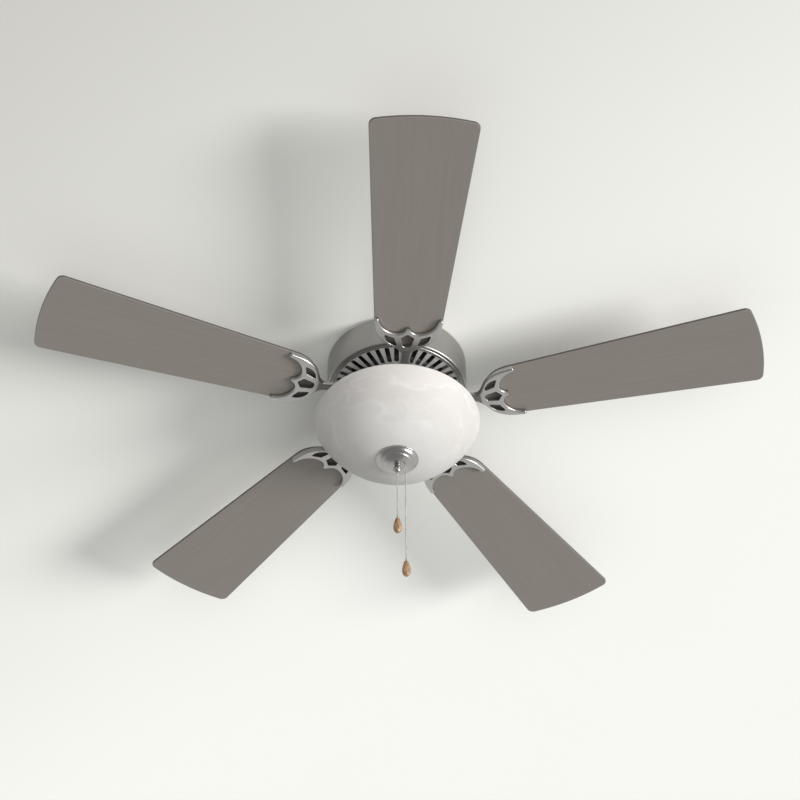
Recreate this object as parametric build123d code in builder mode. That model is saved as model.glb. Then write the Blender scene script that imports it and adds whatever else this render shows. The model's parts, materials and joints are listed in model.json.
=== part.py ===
from build123d import *
import os
from math import sqrt

os.makedirs("parts", exist_ok=True)

# Ceiling fan with light, close-mounted. Millimetres, z = 0 at the ceiling, the fan's axis on Z.

# Clearances
FIT = 0.1  # radial room between pieces that are pressed or screwed together
RUN = 0.05  # radial room in a running bearing
SLIP = 0.4  # room between a cover and what it slides over
SWING = 3.0  # room between a spinning piece and a fixed one
AIR_GAP = 0.6  # between the stator and the rotor ring
SLIDE = 0.3  # room round a sliding piece

# Motor housing: a pressed drum with an in-turned lower lip
HOUSING_R = 128.0
HOUSING_WALL = 1.6
HOUSING_H = 69.0
HOUSING_LIP = 11.0  # how far the lower lip turns in
HOUSING_BEND_R = 8.0
REVEAL = 3.0  # dark gap between the drum and the ceiling

# Ceiling plate: a shallow pressed pan, screwed to the outlet box
PLATE_T = 2.0
PLATE_RIM_H = 20.0
PLATE_EDGE_R = 1.0
BOX_HOLE_SPACING = 88.9
BOX_HOLE_R = 2.75
WIRE_HOLE_R = 12.0

# Small screws
SCREW_R = 2.0
SCREW_HEAD_R = 4.0
SCREW_HEAD_H = 2.4
HOUSING_SCREW_COUNT = 3
HOUSING_SCREW_DROP = 12.0
HOUSING_SCREW_TURN = 30.0
HOUSING_SCREW_L = 7.0

# Motor hanger and shaft
HANGER_R = 34.0
HANGER_T = 3.0
HANGER_BOSS_R = 15.0
HANGER_BOSS_H = 7.0
HANGER_SCREW_RING_R = 26.0
HANGER_SCREW_COUNT = 4
SHAFT_R = 9.0
SHAFT_BORE_R = 5.5
SHAFT_COLLAR_R = 13.0
SHAFT_COLLAR_H = 4.0
SHAFT_TAIL = 8.5  # thread below the switch housing's top
SHAFT_PIN_R = 1.5
SHAFT_NUT_FLATS = 26.0
SHAFT_NUT_H = 6.0

# Motor
CASE_R = 84.0
CASE_WALL = 3.0
CASE_HALF_H = 14.5
CASE_RIM_W = 16.0
CASE_EDGE_R = 5.0
RING_H = 17.0
STATOR_R = 62.0
STATOR_H = 15.0
STATOR_SLOTS = 16
STATOR_SLOT_W = 6.0
STATOR_SLOT_IN_R = 36.0
STATOR_SLOT_OUT_R = 55.0
STATOR_MOUTH_W = 2.0
COIL_H = 8.0
BEARING_RING_T = 3.5
BEARING_W = 9.0
BEARING_BOSS_T = 4.5
MOTOR_BOLT_RING_R = 76.0
MOTOR_BOLT_COUNT = 4

# Blade flange, which carries the irons below the housing
FLANGE_R = 94.0
FLANGE_T = 8.0
FLANGE_DROP = 37.0
FLANGE_NECK_R = 68.0
FLANGE_NECK_WALL = 6.0
FLANGE_FOOT_T = 4.0
FLANGE_NECK_FILLET = 4.0
FLANGE_EDGE_R = 1.5
FLANGE_FOOT_IN_R = 44.0
FLANGE_SCREW_RING_R = 53.0
FLANGE_SCREW_COUNT = 5

# Vent ring in the bottom of the housing
VENT_T = 1.5
VENT_SLOTS = 40
VENT_SLOT_IN_R = 78.0
VENT_SLOT_OUT_R = 115.0
VENT_SLOT_W = 8.6
VENT_SLOT_CORNER_R = 2.4

# Blades
BLADES = 5
FIRST_BLADE_TURN = -86.45
BLADE_OFFSET = 8.0  # the blade's centreline passes the axis at this distance
BLADE_TIP_R = 664.0
BLADE_TIP_BULGE = 10.5
BLADE_TIP_HALF_W = 90.0
BLADE_ROOT_HALF_W = 60.0
BLADE_ROOT_R = 219.0  # where the straight edges begin
BLADE_ROOT_DEPTH = 58.0
BLADE_CORNER_R = 13.0
BLADE_EDGE_R = 1.2
BLADE_T = 5.5
BLADE_DROP = 14.0  # underside of the blades below the flange's face

# Blade irons: pierced castings with a sloping neck
PAD_IN_R = 63.0
PAD_OUT_R = 92.0
PAD_W = 38.0
PAD_T = 6.0
PAD_SCREW_R = 77.0
PAD_SCREW_SPACING = 22.0
PAD_CORNER_R = 5.0
NECK_W = 17.0
NECK_START_R = 112.0
NECK_END_R = 140.0
NECK_FOOT_R = 155.0  # where the sloping neck meets the flat plate
IRON_DEPTH = 8.0
IRON_EDGE_R = 3.0
IRON_CREASE_R = 10.0
IRON_WAIST = (160.0, 22.0)
IRON_SHOULDER = (174.0, 42.5)
IRON_HIP = (190.0, 53.0)
PRONG_TIP = (223.0, 60.0)
PRONG_END = (225.0, 52.0)
PRONG_INNER = (203.5, 41.0)
SCALLOP = (194.0, 22.0)
MIDDLE_PRONG_R = 206.0
MIDDLE_PRONG_HALF_W = 3.2
HOLE_CORNER_R = 1.4
MIDDLE_HOLE_CORNER_R = 0.9
HOLE_EDGE_R = 0.8
MIDDLE_HOLE = ((163.0, 3.5), (166.0, 7.5), (185.0, 11.5), (193.0, 1.2))
SIDE_HOLE_HEEL = (166.0, 17.8)
SIDE_HOLE_KNEE = (184.5, 23.8)
SIDE_HOLE_TOE = (192.0, 40.2)
SIDE_HOLE_BACK = (176.8, 35.8)
BLADE_SCREW_SPOTS = ((199.5, 0.0), (204.0, 50.0), (204.0, -50.0))
BLADE_SCREW_L = 11.0
WASHER_R = 6.0
WASHER_T = 0.8
IRON_SCREW_R = 2.4
IRON_SCREW_HEAD_R = 4.6
IRON_SCREW_HEAD_H = 3.0

# Switch housing
CUP_R = 48.0
CUP_WALL = 1.4
CUP_H = 32.0
CUP_EDGE_R = 5.0
CUP_GAP = 3.8  # below the iron screws
REVERSE_W = 5.0
REVERSE_H = 5.0
REVERSE_TRAVEL = 6.0
REVERSE_STAND = 3.0
REVERSE_BODY_W = 18.0
REVERSE_BODY_H = 16.0
REVERSE_BODY_D = 10.0
REVERSE_DROP = 11.0
REVERSE_TAIL = 4.0
FAN_SWITCH_SIZE = (26.0, 22.0, 16.0)
FAN_SWITCH_X = -8.0
LIGHT_SWITCH_SIZE = (26.0, 22.0, 20.0)
LIGHT_SWITCH_X = 21.0
CAPACITOR_SIZE = (32.0, 15.0, 23.0)
CAPACITOR_Y = 24.0
BUSHING_R = 4.0
BUSHING_L = 6.0
BUSHING_BORE_R = 1.8
BLOCK_EDGE_R = 2.0

# Light fitter
PAN_INSET = 4.6  # the pan's edge inside the bowl's rim
PAN_T = 1.2
PAN_COLLAR_H = 9.0
PAN_FALL = 1.5  # the pan's rim below its middle
PAN_FALL_W = 21.6  # width of the slope down to the rim
FITTER_SCREW_COUNT = 3
FITTER_SCREW_TURN = 90.0
FITTER_SCREW_RISE = 5.0
FITTER_SCREW_L = 4.0
GASKET_T = 1.6
GASKET_W = 2.2
ROD_R = 4.0
ROD_BORE_R = 2.4
ROD_NUT_FLATS = 13.0
ROD_NUT_H = 4.0
LAMPS = 3
LAMP_TURN = 90.0
LAMP_DROP = 22.0  # lamp axis below the pan
BRACKET_R = 36.0
BRACKET_W = 26.0
BRACKET_T = 1.2
BRACKET_FOOT = 11.0
BRACKET_RISE = 12.0  # the bracket's reach below the lamp axis
RIVET_R = 1.8
RIVET_HEAD_R = 2.8
RIVET_HEAD_H = 1.0
RIVET_RING_R = 41.5
HOLDER_R = 11.0
HOLDER_L = 25.0
HOLDER_FLOOR = 4.0
LAMP_CAP_R = 7.0
LAMP_CAP_ROOM = 0.6
LAMP_CAP_L = 21.5
BULB_R_SHARE = 0.113  # of the bowl's radius
BULB_L_SHARE = 0.332

# Glass bowl: a cap of a sphere with a thick rim
BOWL_R = 150.6
BOWL_DEPTH = 95.0
BOWL_T = 4.0
BOWL_RIM_W = 7.0
BOWL_RIM_H = 6.0
BOWL_HOLE_R = 20.0

# Finial
CAP_R = 38.0
CAP_RIM_DROP = 1.0
CAP_STEP_R = 26.5
CAP_STEP_H = 1.7
CAP_BOWL_H = 7.0
CAP_DOME_H = 5.6
CAP_WALL = 1.7
CAP_CROWN = 3.6
CAP_WASHER_IN_R = 30.0
CAP_WASHER_OUT_R = 36.0
CAP_WASHER_T = 1.5
KNOB_COLLAR_R = 5.4
KNOB_COLLAR_H = 1.6
KNOB_NECK_R = 3.8
KNOB_R = 6.6
KNOB_DROP = 9.0  # centre of the ball below the cap
KNOB_STEM_L = 8.0

# Pull chains and wooden pulls
CHAIN_R = 1.2
CHAIN_HOLE_R = 1.5
FAN_CHAIN_L = 100.5
LIGHT_CHAIN_L = 214.0
LIGHT_CHAIN_SPOT = (14.5, -3.0)
LINK_R = 2.2
LINK_H = 5.0
PULL_R = 7.5
PULL_L = 34.0
PULL_TOP_R = 3.0
PULL_WAIST = 0.66  # share of the pull's length where it is widest

# Levels, from the ceiling down
housing_top = -REVEAL
housing_bottom = housing_top - HOUSING_H
plate_under = -PLATE_T
hanger_under = plate_under - HANGER_T
boss_under = hanger_under - HANGER_BOSS_H
case_top = boss_under - SWING
ring_top = case_top - CASE_HALF_H
ring_bottom = ring_top - RING_H
case_bottom = ring_bottom - CASE_HALF_H
motor_middle = (case_top + case_bottom) / 2
flange_face = case_bottom - FLANGE_DROP
pad_under = flange_face - PAD_T
blade_under = flange_face - BLADE_DROP
blade_top = blade_under + BLADE_T
iron_under = blade_under - IRON_DEPTH
cup_top = pad_under - IRON_SCREW_HEAD_H - CUP_GAP
cup_under = cup_top - CUP_H
pan_top = cup_under
pan_under = pan_top - PAN_T
rim_top = pan_under - PAN_FALL - GASKET_T
bowl_ball_r = (BOWL_R**2 + BOWL_DEPTH**2) / (2 * BOWL_DEPTH)
bowl_centre = rim_top - BOWL_DEPTH + bowl_ball_r
lamp_level = pan_under - LAMP_DROP

# Radii that follow from a fit
plate_r = HOUSING_R - HOUSING_WALL - SLIP
vent_r = HOUSING_R - HOUSING_BEND_R - SLIP
vent_in_r = FLANGE_NECK_R + SWING
bearing_split_r = SHAFT_R + BEARING_RING_T
bearing_r = bearing_split_r + BEARING_RING_T
cup_in_r = CUP_R - CUP_WALL
collar_r = cup_in_r - SLIP
pan_r = BOWL_R - PAN_INSET
pan_flat_r = pan_r - 2 * GASKET_W
pan_fall_r = pan_flat_r - PAN_FALL_W
bulb_r = BOWL_R * BULB_R_SHARE
bulb_l = BOWL_R * BULB_L_SHARE


def radial(angle, radius, height):
    """A place on a circle round the axis, whose Z points outwards."""
    outwards = Vector(1, 0, 0).rotate(Axis.Z, angle)
    place = outwards * radius + Vector(0, 0, height)
    return Plane(origin=place, x_dir=(0, 0, 1), z_dir=outwards).location


def round_the_axis(count, first_turn, radius, height):
    """Such places, evenly spaced round the axis."""
    return [radial(first_turn + 360 / count * k, radius, height) for k in range(count)]


def screw(shank_r, length, head_r, head_h):
    """A screw with a rounded head above its place and its shank below."""
    with BuildPart() as piece:
        Cylinder(head_r, head_h, align=(Align.CENTER, Align.CENTER, Align.MIN))
        fillet(piece.edges().group_by(Axis.Z)[-1], head_h * 0.45)
        Cylinder(shank_r, length, align=(Align.CENTER, Align.CENTER, Align.MAX))
    return piece.part


def sphere_level(radius, r):
    """The height of the lower half of a sphere round the bowl's centre."""
    return bowl_centre - sqrt(radius**2 - r**2)


def save(part, name):
    part.label = name
    export_step(part, f"parts/{name}.step")


# Ceiling plate
with BuildPart() as ceiling_plate:
    with BuildSketch(Plane.XY):
        Circle(plate_r)
    extrude(amount=-PLATE_RIM_H)
    fillet(ceiling_plate.edges().group_by(Axis.Z)[-1], PLATE_EDGE_R)
    offset(amount=-PLATE_T, openings=ceiling_plate.faces().sort_by(Axis.Z)[0])
    Hole(WIRE_HOLE_R)
    with GridLocations(BOX_HOLE_SPACING, 0, 2, 1):
        Hole(BOX_HOLE_R)
    with PolarLocations(HANGER_SCREW_RING_R, HANGER_SCREW_COUNT, start_angle=45):
        Hole(SCREW_R + FIT)
    rim_screws = round_the_axis(HOUSING_SCREW_COUNT, HOUSING_SCREW_TURN, plate_r, -HOUSING_SCREW_DROP)
    with Locations(*rim_screws):
        Hole(SCREW_R + FIT, depth=2 * PLATE_T)
save(ceiling_plate.part, "ceiling_plate")

# Motor hanger
with BuildPart() as motor_hanger:
    with BuildSketch(Plane.XY.offset(plate_under)):
        Circle(HANGER_R)
    extrude(amount=-HANGER_T)
    with BuildSketch(Plane.XY.offset(hanger_under)):
        Circle(HANGER_BOSS_R)
    extrude(amount=-HANGER_BOSS_H)
    Hole(SHAFT_R + FIT)
    with PolarLocations(HANGER_SCREW_RING_R, HANGER_SCREW_COUNT, start_angle=45):
        Hole(SCREW_R + FIT)
    pin_level = hanger_under - HANGER_BOSS_H / 2
    with Locations(Plane.YZ.offset(-HANGER_BOSS_R).location * Pos(0, pin_level, 0)):
        Cylinder(SHAFT_PIN_R + FIT, 4 * HANGER_BOSS_R, mode=Mode.SUBTRACT)
save(motor_hanger.part, "motor_hanger")

with BuildPart() as hanger_screws:
    with Locations(Plane.XY.offset(hanger_under).rotated((180, 0, 0)).location):
        with PolarLocations(HANGER_SCREW_RING_R, HANGER_SCREW_COUNT, start_angle=45):
            add(screw(SCREW_R, HANGER_T + PLATE_T - FIT, SCREW_HEAD_R, SCREW_HEAD_H))
save(hanger_screws.part, "hanger_screws")

# Motor shaft: fixed, hollow for the leads, with a collar above the switch housing
shaft_end = cup_top - SHAFT_TAIL
with BuildPart() as motor_shaft:
    with BuildSketch(Plane.XZ):
        with BuildLine():
            Polyline(
                (SHAFT_BORE_R, plate_under),
                (SHAFT_R, plate_under),
                (SHAFT_R, cup_top + SHAFT_COLLAR_H),
                (SHAFT_COLLAR_R, cup_top + SHAFT_COLLAR_H),
                (SHAFT_COLLAR_R, cup_top),
                (SHAFT_R, cup_top),
                (SHAFT_R, shaft_end),
                (SHAFT_BORE_R, shaft_end),
                close=True,
            )
        make_face()
    revolve(axis=Axis.Z)
    with Locations(Plane.YZ.location * Pos(0, pin_level, 0)):
        Cylinder(SHAFT_PIN_R + FIT, 4 * SHAFT_R, mode=Mode.SUBTRACT)
save(motor_shaft.part, "motor_shaft")

with BuildPart() as shaft_pin:
    with Locations(Plane.YZ.location * Pos(0, pin_level, 0)):
        Cylinder(SHAFT_PIN_R, 2 * HANGER_BOSS_R)
save(shaft_pin.part, "shaft_pin")

with BuildPart() as shaft_nut:
    with BuildSketch(Plane.XY.offset(cup_top - CUP_WALL)):
        RegularPolygon(SHAFT_NUT_FLATS / 2, 6, major_radius=False)
        Circle(SHAFT_R + FIT, mode=Mode.SUBTRACT)
    extrude(amount=-SHAFT_NUT_H)
save(shaft_nut.part, "shaft_nut")

# Bearings: shielded, so each is an inner and an outer ring
upper_bearing_top = case_top - CASE_WALL - FIT
lower_bearing_top = case_bottom + CASE_WALL + FIT + BEARING_W
bearing_tops = (upper_bearing_top, lower_bearing_top)

with BuildPart() as bearing_inner_rings:
    for top in bearing_tops:
        with BuildSketch(Plane.XY.offset(top)):
            Circle(bearing_split_r)
            Circle(SHAFT_R + FIT, mode=Mode.SUBTRACT)
        extrude(amount=-BEARING_W)
save(bearing_inner_rings.part, "bearing_inner_rings")

with BuildPart() as bearing_outer_rings:
    for top in bearing_tops:
        with BuildSketch(Plane.XY.offset(top)):
            Circle(bearing_r)
            Circle(bearing_split_r + RUN, mode=Mode.SUBTRACT)
        extrude(amount=-BEARING_W)
save(bearing_outer_rings.part, "bearing_outer_rings")

# Stator: a slotted stack of laminations with coils in its slots
stator_top = motor_middle + STATOR_H / 2
stator_under = motor_middle - STATOR_H / 2
slot_span = STATOR_SLOT_OUT_R - STATOR_SLOT_IN_R
with BuildPart() as stator_core:
    with BuildSketch(Plane.XY.offset(stator_under)):
        Circle(STATOR_R)
        Circle(SHAFT_R + FIT, mode=Mode.SUBTRACT)
        with PolarLocations(STATOR_SLOT_IN_R + slot_span / 2, STATOR_SLOTS):
            SlotOverall(slot_span, STATOR_SLOT_W, mode=Mode.SUBTRACT)
        with PolarLocations(STATOR_R, STATOR_SLOTS):
            Rectangle(3 * (STATOR_R - STATOR_SLOT_OUT_R), STATOR_MOUTH_W, mode=Mode.SUBTRACT)
    extrude(amount=STATOR_H)
save(stator_core.part, "stator_core")

coil_half_w = slot_span / 2
coil_mid_r = STATOR_SLOT_IN_R + coil_half_w
with BuildPart() as stator_windings:
    with BuildSketch(Plane.XZ):
        for level, side in ((stator_top, 1), (stator_under, -1)):
            with BuildLine():
                crown = ThreePointArc(
                    (coil_mid_r - coil_half_w, level),
                    (coil_mid_r, level + side * COIL_H),
                    (coil_mid_r + coil_half_w, level),
                )
                Line(crown @ 1, crown @ 0)
            make_face()
    revolve(axis=Axis.Z)
save(stator_windings.part, "stator_windings")

# Rotor: a laminated ring clamped between two cast halves of the motor case
bolt_turn = 180 / MOTOR_BOLT_COUNT
with BuildPart() as rotor_ring:
    with BuildSketch(Plane.XY.offset(ring_bottom)):
        Circle(CASE_R)
        Circle(STATOR_R + AIR_GAP, mode=Mode.SUBTRACT)
        with PolarLocations(MOTOR_BOLT_RING_R, MOTOR_BOLT_COUNT, start_angle=bolt_turn):
            Circle(SCREW_R + FIT, mode=Mode.SUBTRACT)
    extrude(amount=RING_H)
save(rotor_ring.part, "rotor_ring")


def motor_case_half(outer_face, side):
    """Half of the motor case; side is 1 for the upper half and -1 for the lower."""
    inner_face = outer_face - side * CASE_WALL
    seam = outer_face - side * CASE_HALF_H
    boss_end = inner_face - side * BEARING_W
    with BuildPart() as half:
        with BuildSketch(Plane.XZ):
            with BuildLine():
                Polyline(
                    (SHAFT_R + SWING, outer_face),
                    (CASE_R, outer_face),
                    (CASE_R, seam),
                    (CASE_R - CASE_RIM_W, seam),
                    (CASE_R - CASE_RIM_W, inner_face),
                    (bearing_r + BEARING_BOSS_T, inner_face),
                    (bearing_r + BEARING_BOSS_T, boss_end),
                    (bearing_r + FIT, boss_end),
                    (bearing_r + FIT, inner_face),
                    (SHAFT_R + SWING, inner_face),
                    close=True,
                )
            make_face()
        revolve(axis=Axis.Z)
        rim = half.edges().filter_by(GeomType.CIRCLE).filter_by(lambda e: abs(e.radius - CASE_R) < FIT)
        outer_rim = rim.sort_by(lambda e: abs(e.center().Z - outer_face))[0]
        fillet(outer_rim, CASE_EDGE_R)
        with PolarLocations(MOTOR_BOLT_RING_R, MOTOR_BOLT_COUNT, start_angle=bolt_turn):
            Hole(SCREW_R + FIT)
    return half


rotor_upper_case = motor_case_half(case_top, 1)
save(rotor_upper_case.part, "rotor_upper_case")

rotor_lower_case = motor_case_half(case_bottom, -1)
with rotor_lower_case:
    with PolarLocations(FLANGE_SCREW_RING_R, FLANGE_SCREW_COUNT):
        Hole(SCREW_R + FIT)
save(rotor_lower_case.part, "rotor_lower_case")

with BuildPart() as motor_bolts:
    with Locations((0, 0, case_top)):
        with PolarLocations(MOTOR_BOLT_RING_R, MOTOR_BOLT_COUNT, start_angle=bolt_turn):
            add(screw(SCREW_R, case_top - case_bottom, SCREW_HEAD_R, SCREW_HEAD_H))
save(motor_bolts.part, "motor_bolts")

# Blade flange: a cast neck through the vent ring, with a face for the irons
blade_turns = [FIRST_BLADE_TURN + 360 / BLADES * k for k in range(BLADES)]
blade_frames = [Rot(0, 0, turn) * Pos(0, BLADE_OFFSET, 0) for turn in blade_turns]
pad_screw_spots = [(PAD_SCREW_R, side * PAD_SCREW_SPACING / 2) for side in (1, -1)]
pad_screw_places = [frame * Pos(x, y, pad_under) for frame in blade_frames for x, y in pad_screw_spots]
flange_back = flange_face + FLANGE_T
foot_under = case_bottom - FLANGE_FOOT_T
with BuildPart() as blade_flange:
    with BuildSketch(Plane.XZ) as flange_profile:
        with BuildLine():
            Polyline(
                (FLANGE_FOOT_IN_R, case_bottom),
                (FLANGE_NECK_R, case_bottom),
                (FLANGE_NECK_R, flange_back),
                (FLANGE_R, flange_back),
                (FLANGE_R, flange_face),
                (FLANGE_NECK_R - FLANGE_NECK_WALL, flange_face),
                (FLANGE_NECK_R - FLANGE_NECK_WALL, foot_under),
                (FLANGE_FOOT_IN_R, foot_under),
                close=True,
            )
        make_face()
        rim_corners = flange_profile.vertices().group_by(Axis.X)[-1]
        neck_corner = flange_profile.vertices().filter_by(lambda v: v.X == FLANGE_NECK_R).sort_by(Axis.Z)[0]
        fillet(rim_corners, FLANGE_EDGE_R)
        fillet(neck_corner, FLANGE_NECK_FILLET)
    revolve(axis=Axis.Z)
    with PolarLocations(FLANGE_SCREW_RING_R, FLANGE_SCREW_COUNT):
        Hole(SCREW_R + FIT)
    with Locations(*pad_screw_places):
        Cylinder(IRON_SCREW_R + FIT, 4 * FLANGE_T, mode=Mode.SUBTRACT)
save(blade_flange.part, "blade_flange")

with BuildPart() as flange_screws:
    with Locations(Plane.XY.offset(foot_under).rotated((180, 0, 0)).location):
        with PolarLocations(FLANGE_SCREW_RING_R, FLANGE_SCREW_COUNT):
            add(screw(SCREW_R, FLANGE_FOOT_T + CASE_WALL, SCREW_HEAD_R, SCREW_HEAD_H))
save(flange_screws.part, "flange_screws")

# Motor housing: a drum whose lower edge rolls in and carries the vent ring
lip_r = HOUSING_R - HOUSING_LIP
lip_top = housing_bottom + HOUSING_WALL
bend_centre = (HOUSING_R - HOUSING_BEND_R, housing_bottom + HOUSING_BEND_R)
housing_screw_places = round_the_axis(
    HOUSING_SCREW_COUNT, HOUSING_SCREW_TURN, HOUSING_R, -HOUSING_SCREW_DROP
)
with BuildPart() as motor_housing:
    with BuildSketch(Plane.XZ):
        with BuildLine():
            outer_bend = CenterArc(bend_centre, HOUSING_BEND_R, -90, 90)
            inner_bend = CenterArc(bend_centre, HOUSING_BEND_R - HOUSING_WALL, -90, 90)
            Polyline(
                outer_bend @ 1,
                (HOUSING_R, housing_top),
                (HOUSING_R - HOUSING_WALL, housing_top),
                inner_bend @ 1,
            )
            Polyline(outer_bend @ 0, (lip_r, housing_bottom), (lip_r, lip_top), inner_bend @ 0)
        make_face()
    revolve(axis=Axis.Z)
    with Locations(*housing_screw_places):
        Hole(SCREW_R + FIT, depth=2 * HOUSING_WALL)
save(motor_housing.part, "motor_housing")

with BuildPart() as housing_screws:
    with Locations(*housing_screw_places):
        add(screw(SCREW_R, HOUSING_SCREW_L, SCREW_HEAD_R, SCREW_HEAD_H))
save(housing_screws.part, "housing_screws")

# Vent ring: radial slots all round, resting on the drum's lip
vent_slot_l = VENT_SLOT_OUT_R - VENT_SLOT_IN_R
with BuildPart() as vent_ring:
    with BuildSketch(Plane.XY.offset(lip_top)):
        Circle(vent_r)
        Circle(vent_in_r, mode=Mode.SUBTRACT)
        with PolarLocations(VENT_SLOT_IN_R + vent_slot_l / 2, VENT_SLOTS):
            RectangleRounded(vent_slot_l, VENT_SLOT_W, VENT_SLOT_CORNER_R, mode=Mode.SUBTRACT)
    extrude(amount=VENT_T)
save(vent_ring.part, "vent_ring")

# Blade iron: pad, sloping neck and a pierced plate with three prongs under the blade's root
with BuildSketch() as iron_plan:
    with BuildLine():
        pad_end = Line((PAD_IN_R, 0), (PAD_IN_R, PAD_W / 2))
        pad_side = Line(pad_end @ 1, (PAD_OUT_R - PAD_CORNER_R, PAD_W / 2))
        pad_taper = Spline(pad_side @ 1, (NECK_START_R, NECK_W / 2), tangents=((1, 0), (1, 0)))
        neck_side = Line(pad_taper @ 1, (NECK_END_R, NECK_W / 2))
        flare = Spline(
            neck_side @ 1, IRON_WAIST, IRON_SHOULDER, IRON_HIP, PRONG_TIP, tangents=((1, 0), (1, 0.12))
        )
        prong_nose = TangentArc(flare @ 1, PRONG_END, tangent=flare % 1)
        prong_inside = ThreePointArc(prong_nose @ 1, PRONG_INNER, SCALLOP)
        middle_prong = TangentArc(SCALLOP, (MIDDLE_PRONG_R, MIDDLE_PRONG_HALF_W), tangent=prong_inside % 1)
        Line(middle_prong @ 1, (MIDDLE_PRONG_R, 0))
        mirror(about=Plane.XZ)
    make_face()

with BuildSketch() as iron_holes:
    with BuildLine():
        Polyline(*MIDDLE_HOLE)
        Line(MIDDLE_HOLE[0], (MIDDLE_HOLE[0][0], 0))
        Line(MIDDLE_HOLE[-1], (MIDDLE_HOLE[-1][0], 0))
        mirror(about=Plane.XZ)
    make_face()
    fillet(iron_holes.vertices().filter_by(lambda v: abs(v.Y) > FIT), MIDDLE_HOLE_CORNER_R)
    with BuildLine():
        Polyline(SIDE_HOLE_HEEL, SIDE_HOLE_KNEE, SIDE_HOLE_TOE)
        ThreePointArc(SIDE_HOLE_TOE, SIDE_HOLE_BACK, SIDE_HOLE_HEEL)
    make_face()
    fillet(iron_holes.vertices().filter_by(lambda v: v.Y > MIDDLE_HOLE[2][1] + FIT), HOLE_CORNER_R)
    mirror(iron_holes.faces().sort_by(Axis.Y)[-1], about=Plane.XZ)

with BuildPart() as iron:
    with BuildSketch(Plane.XY.offset(iron_under)):
        add(iron_plan.sketch)
    extrude(amount=flange_face - iron_under)
    with BuildSketch(Plane.XZ) as iron_side:
        with BuildLine():
            Polyline(
                (0, flange_face),
                (FLANGE_R + SWING, flange_face),
                (NECK_FOOT_R + SWING, blade_under),
                (2 * BLADE_ROOT_R, blade_under),
                (2 * BLADE_ROOT_R, iron_under),
                (NECK_FOOT_R, iron_under),
                (FLANGE_R + 2 * SWING, pad_under),
                (0, pad_under),
                close=True,
            )
        make_face()
        fillet(iron_side.vertices().filter_by(lambda v: FLANGE_R < v.X < BLADE_ROOT_R), IRON_CREASE_R)
    extrude(amount=BLADE_ROOT_R, both=True, mode=Mode.INTERSECT)
    under = iron.faces().filter_by(lambda face: face.normal_at().Z < -0.5)
    across = under.edges().filter_by(Axis.Y)
    creases = across.filter_by(lambda edge: PAD_OUT_R < edge.center().X < MIDDLE_PRONG_R)
    fillet(under.edges() - creases, IRON_EDGE_R)
    with BuildSketch(Plane.XY.offset(iron_under)):
        add(iron_holes.sketch)
    extrude(amount=IRON_DEPTH, mode=Mode.SUBTRACT)
    plate_face = iron.faces().filter_by(Axis.Z).sort_by(Axis.Z)[0]
    fillet(plate_face.inner_wires().edges(), HOLE_EDGE_R)
    with Locations(*[(x, y, blade_under) for x, y in BLADE_SCREW_SPOTS]):
        Cylinder(SCREW_R + FIT, 2 * (BLADE_SCREW_L - BLADE_T - WASHER_T + SLIDE), mode=Mode.SUBTRACT)
    with Locations(*[(x, y, flange_face) for x, y in pad_screw_spots]):
        Cylinder(IRON_SCREW_R + FIT, 4 * PAD_T, mode=Mode.SUBTRACT)

# Blade: a flat tapered board with a rounded root and a bowed tip
with BuildPart() as blade:
    with BuildSketch(Plane.XY.offset(blade_under)) as blade_plan:
        with BuildLine():
            root = EllipticalCenterArc(
                (BLADE_ROOT_R, 0), BLADE_ROOT_DEPTH, BLADE_ROOT_HALF_W, 90, arc_size=180
            )
            corner_r = BLADE_TIP_R - BLADE_TIP_BULGE
            leading = Line(root @ 0, (corner_r, BLADE_TIP_HALF_W))
            trailing = Line(root @ 1, (corner_r, -BLADE_TIP_HALF_W))
            ThreePointArc(leading @ 1, (BLADE_TIP_R, 0), trailing @ 1)
        make_face()
        fillet(blade_plan.vertices().group_by(Axis.X)[-1], BLADE_CORNER_R)
    extrude(amount=BLADE_T)
    fillet(blade.faces().filter_by(Axis.Z).edges(), BLADE_EDGE_R)
    with Locations(*[(x, y, blade_top) for x, y in BLADE_SCREW_SPOTS]):
        Hole(SCREW_R + FIT)

for number, frame in enumerate(blade_frames, start=1):
    save(frame * iron.part, f"blade_iron_{number}")
    save(frame * blade.part, f"blade_{number}")

with BuildPart() as iron_screws:
    with Locations(*[place * Rot(180, 0, 0) for place in pad_screw_places]):
        add(screw(IRON_SCREW_R, PAD_T + FLANGE_T, IRON_SCREW_HEAD_R, IRON_SCREW_HEAD_H))
save(iron_screws.part, "iron_screws")

blade_screw_places = [frame * Pos(x, y, blade_top) for frame in blade_frames for x, y in BLADE_SCREW_SPOTS]
with BuildPart() as blade_washers:
    with Locations(*blade_screw_places):
        Cylinder(WASHER_R, WASHER_T, align=(Align.CENTER, Align.CENTER, Align.MIN))
        Cylinder(SCREW_R + FIT, 4 * WASHER_T, mode=Mode.SUBTRACT)
save(blade_washers.part, "blade_washers")

with BuildPart() as blade_screws:
    with Locations(*[place * Pos(0, 0, WASHER_T) for place in blade_screw_places]):
        add(screw(SCREW_R, BLADE_SCREW_L, SCREW_HEAD_R, SCREW_HEAD_H))
save(blade_screws.part, "blade_screws")

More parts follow.
